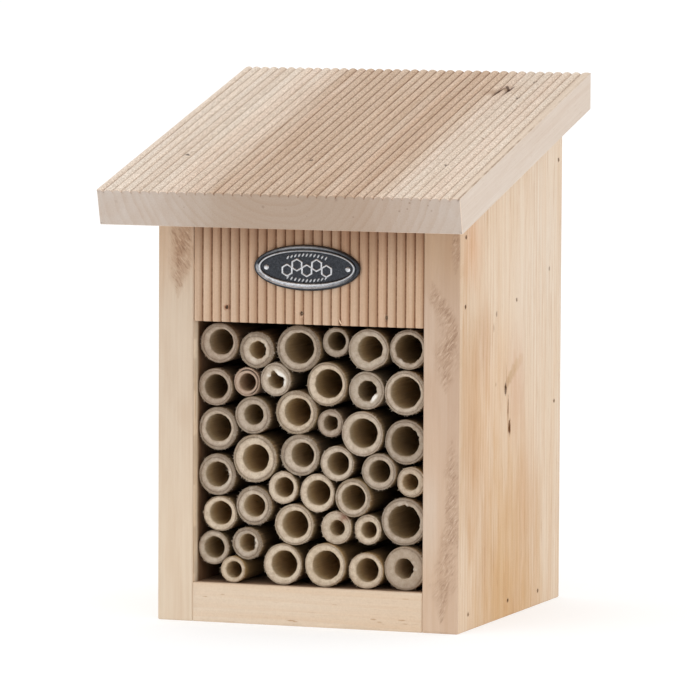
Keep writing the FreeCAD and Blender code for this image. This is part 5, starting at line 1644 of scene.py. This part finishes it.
# ---------------------------------------------------------------------------
# Stage, light and camera
# ---------------------------------------------------------------------------
def plane(name, pts, mat):
    me = bpy.data.meshes.new(name)
    me.from_pydata(pts, [], [tuple(range(len(pts)))])
    ob = bpy.data.objects.new(name, me)
    SCENE.collection.objects.link(ob)
    me.materials.append(mat)
    return ob


k = Look("studio_floor")
spk = k.noise(k.obj, 0.004, 3.0, 0.5)
mat_stage = k.done(k.mix(spk, (0.55, 0.55, 0.55), (0.57, 0.57, 0.57)), 0.9, spec=0.1, mean=(0.56, 0.56, 0.56))
k.bsdf.inputs["Emission Color"].default_value = (1, 1, 1, 1)
k.bsdf.inputs["Emission Strength"].default_value = 0.48
plane("studio_floor_sheet", [(-30, -30, 0), (30, -30, 0), (30, 30, 0), (-30, 30, 0)], mat_stage)

world = bpy.data.worlds.new("studio")
SCENE.world = world
world.use_nodes = True
bg = world.node_tree.nodes["Background"]
bg.inputs[0].default_value = (1.0, 1.0, 1.0, 1)
bg.inputs[1].default_value = 1.01


def softbox(name, at, to, size, power, tint=(1, 1, 1)):
    li = bpy.data.lights.new(name, "AREA")
    li.shape = "RECTANGLE"
    li.size, li.size_y = size
    li.energy = power
    li.color = tint
    ob = bpy.data.objects.new(name, li)
    SCENE.collection.objects.link(ob)
    ob.location = at
    ob.rotation_euler = (Vector(to) - Vector(at)).to_track_quat("-Z", "Y").to_euler()
    return ob


softbox("key_high", (-0.8, -1.3, 2.0), (0, 0, 0.1), (1.2, 1.2), 5.4)
softbox("fill_right", (1.5, -1.7, 0.55), (0, 0, 0.1), (0.9, 0.9), 3.3)

cam_data = bpy.data.cameras.new("camera")
cam_data.sensor_width = 36.0
cam_data.lens = 5922.3 / 700.0 * 36.0
cam_data.clip_start, cam_data.clip_end = 0.05, 200.0
cam = bpy.data.objects.new("camera", cam_data)
SCENE.collection.objects.link(cam)
fwd = Vector((-0.3406, 0.9365, -0.0832)).normalized()
right = Vector((0.93962, 0.34219, 0.00482)).normalized()
up = right.cross(fwd).normalized()
right = fwd.cross(up).normalized()
pose = Matrix.Identity(4)
for i in range(3):
    pose[i][0], pose[i][1], pose[i][2] = right[i], up[i], -fwd[i]
pose[0][3], pose[1][3], pose[2][3] = 0.82006, -2.20519 + YF * 0.001, 0.30772
cam.matrix_world = pose
SCENE.camera = cam

SCENE.view_settings.view_transform = "Standard"
SCENE.view_settings.look = "None"
SCENE.view_settings.exposure = 0.0
SCENE.view_settings.gamma = 1.0

bpy.context.view_layer.update()
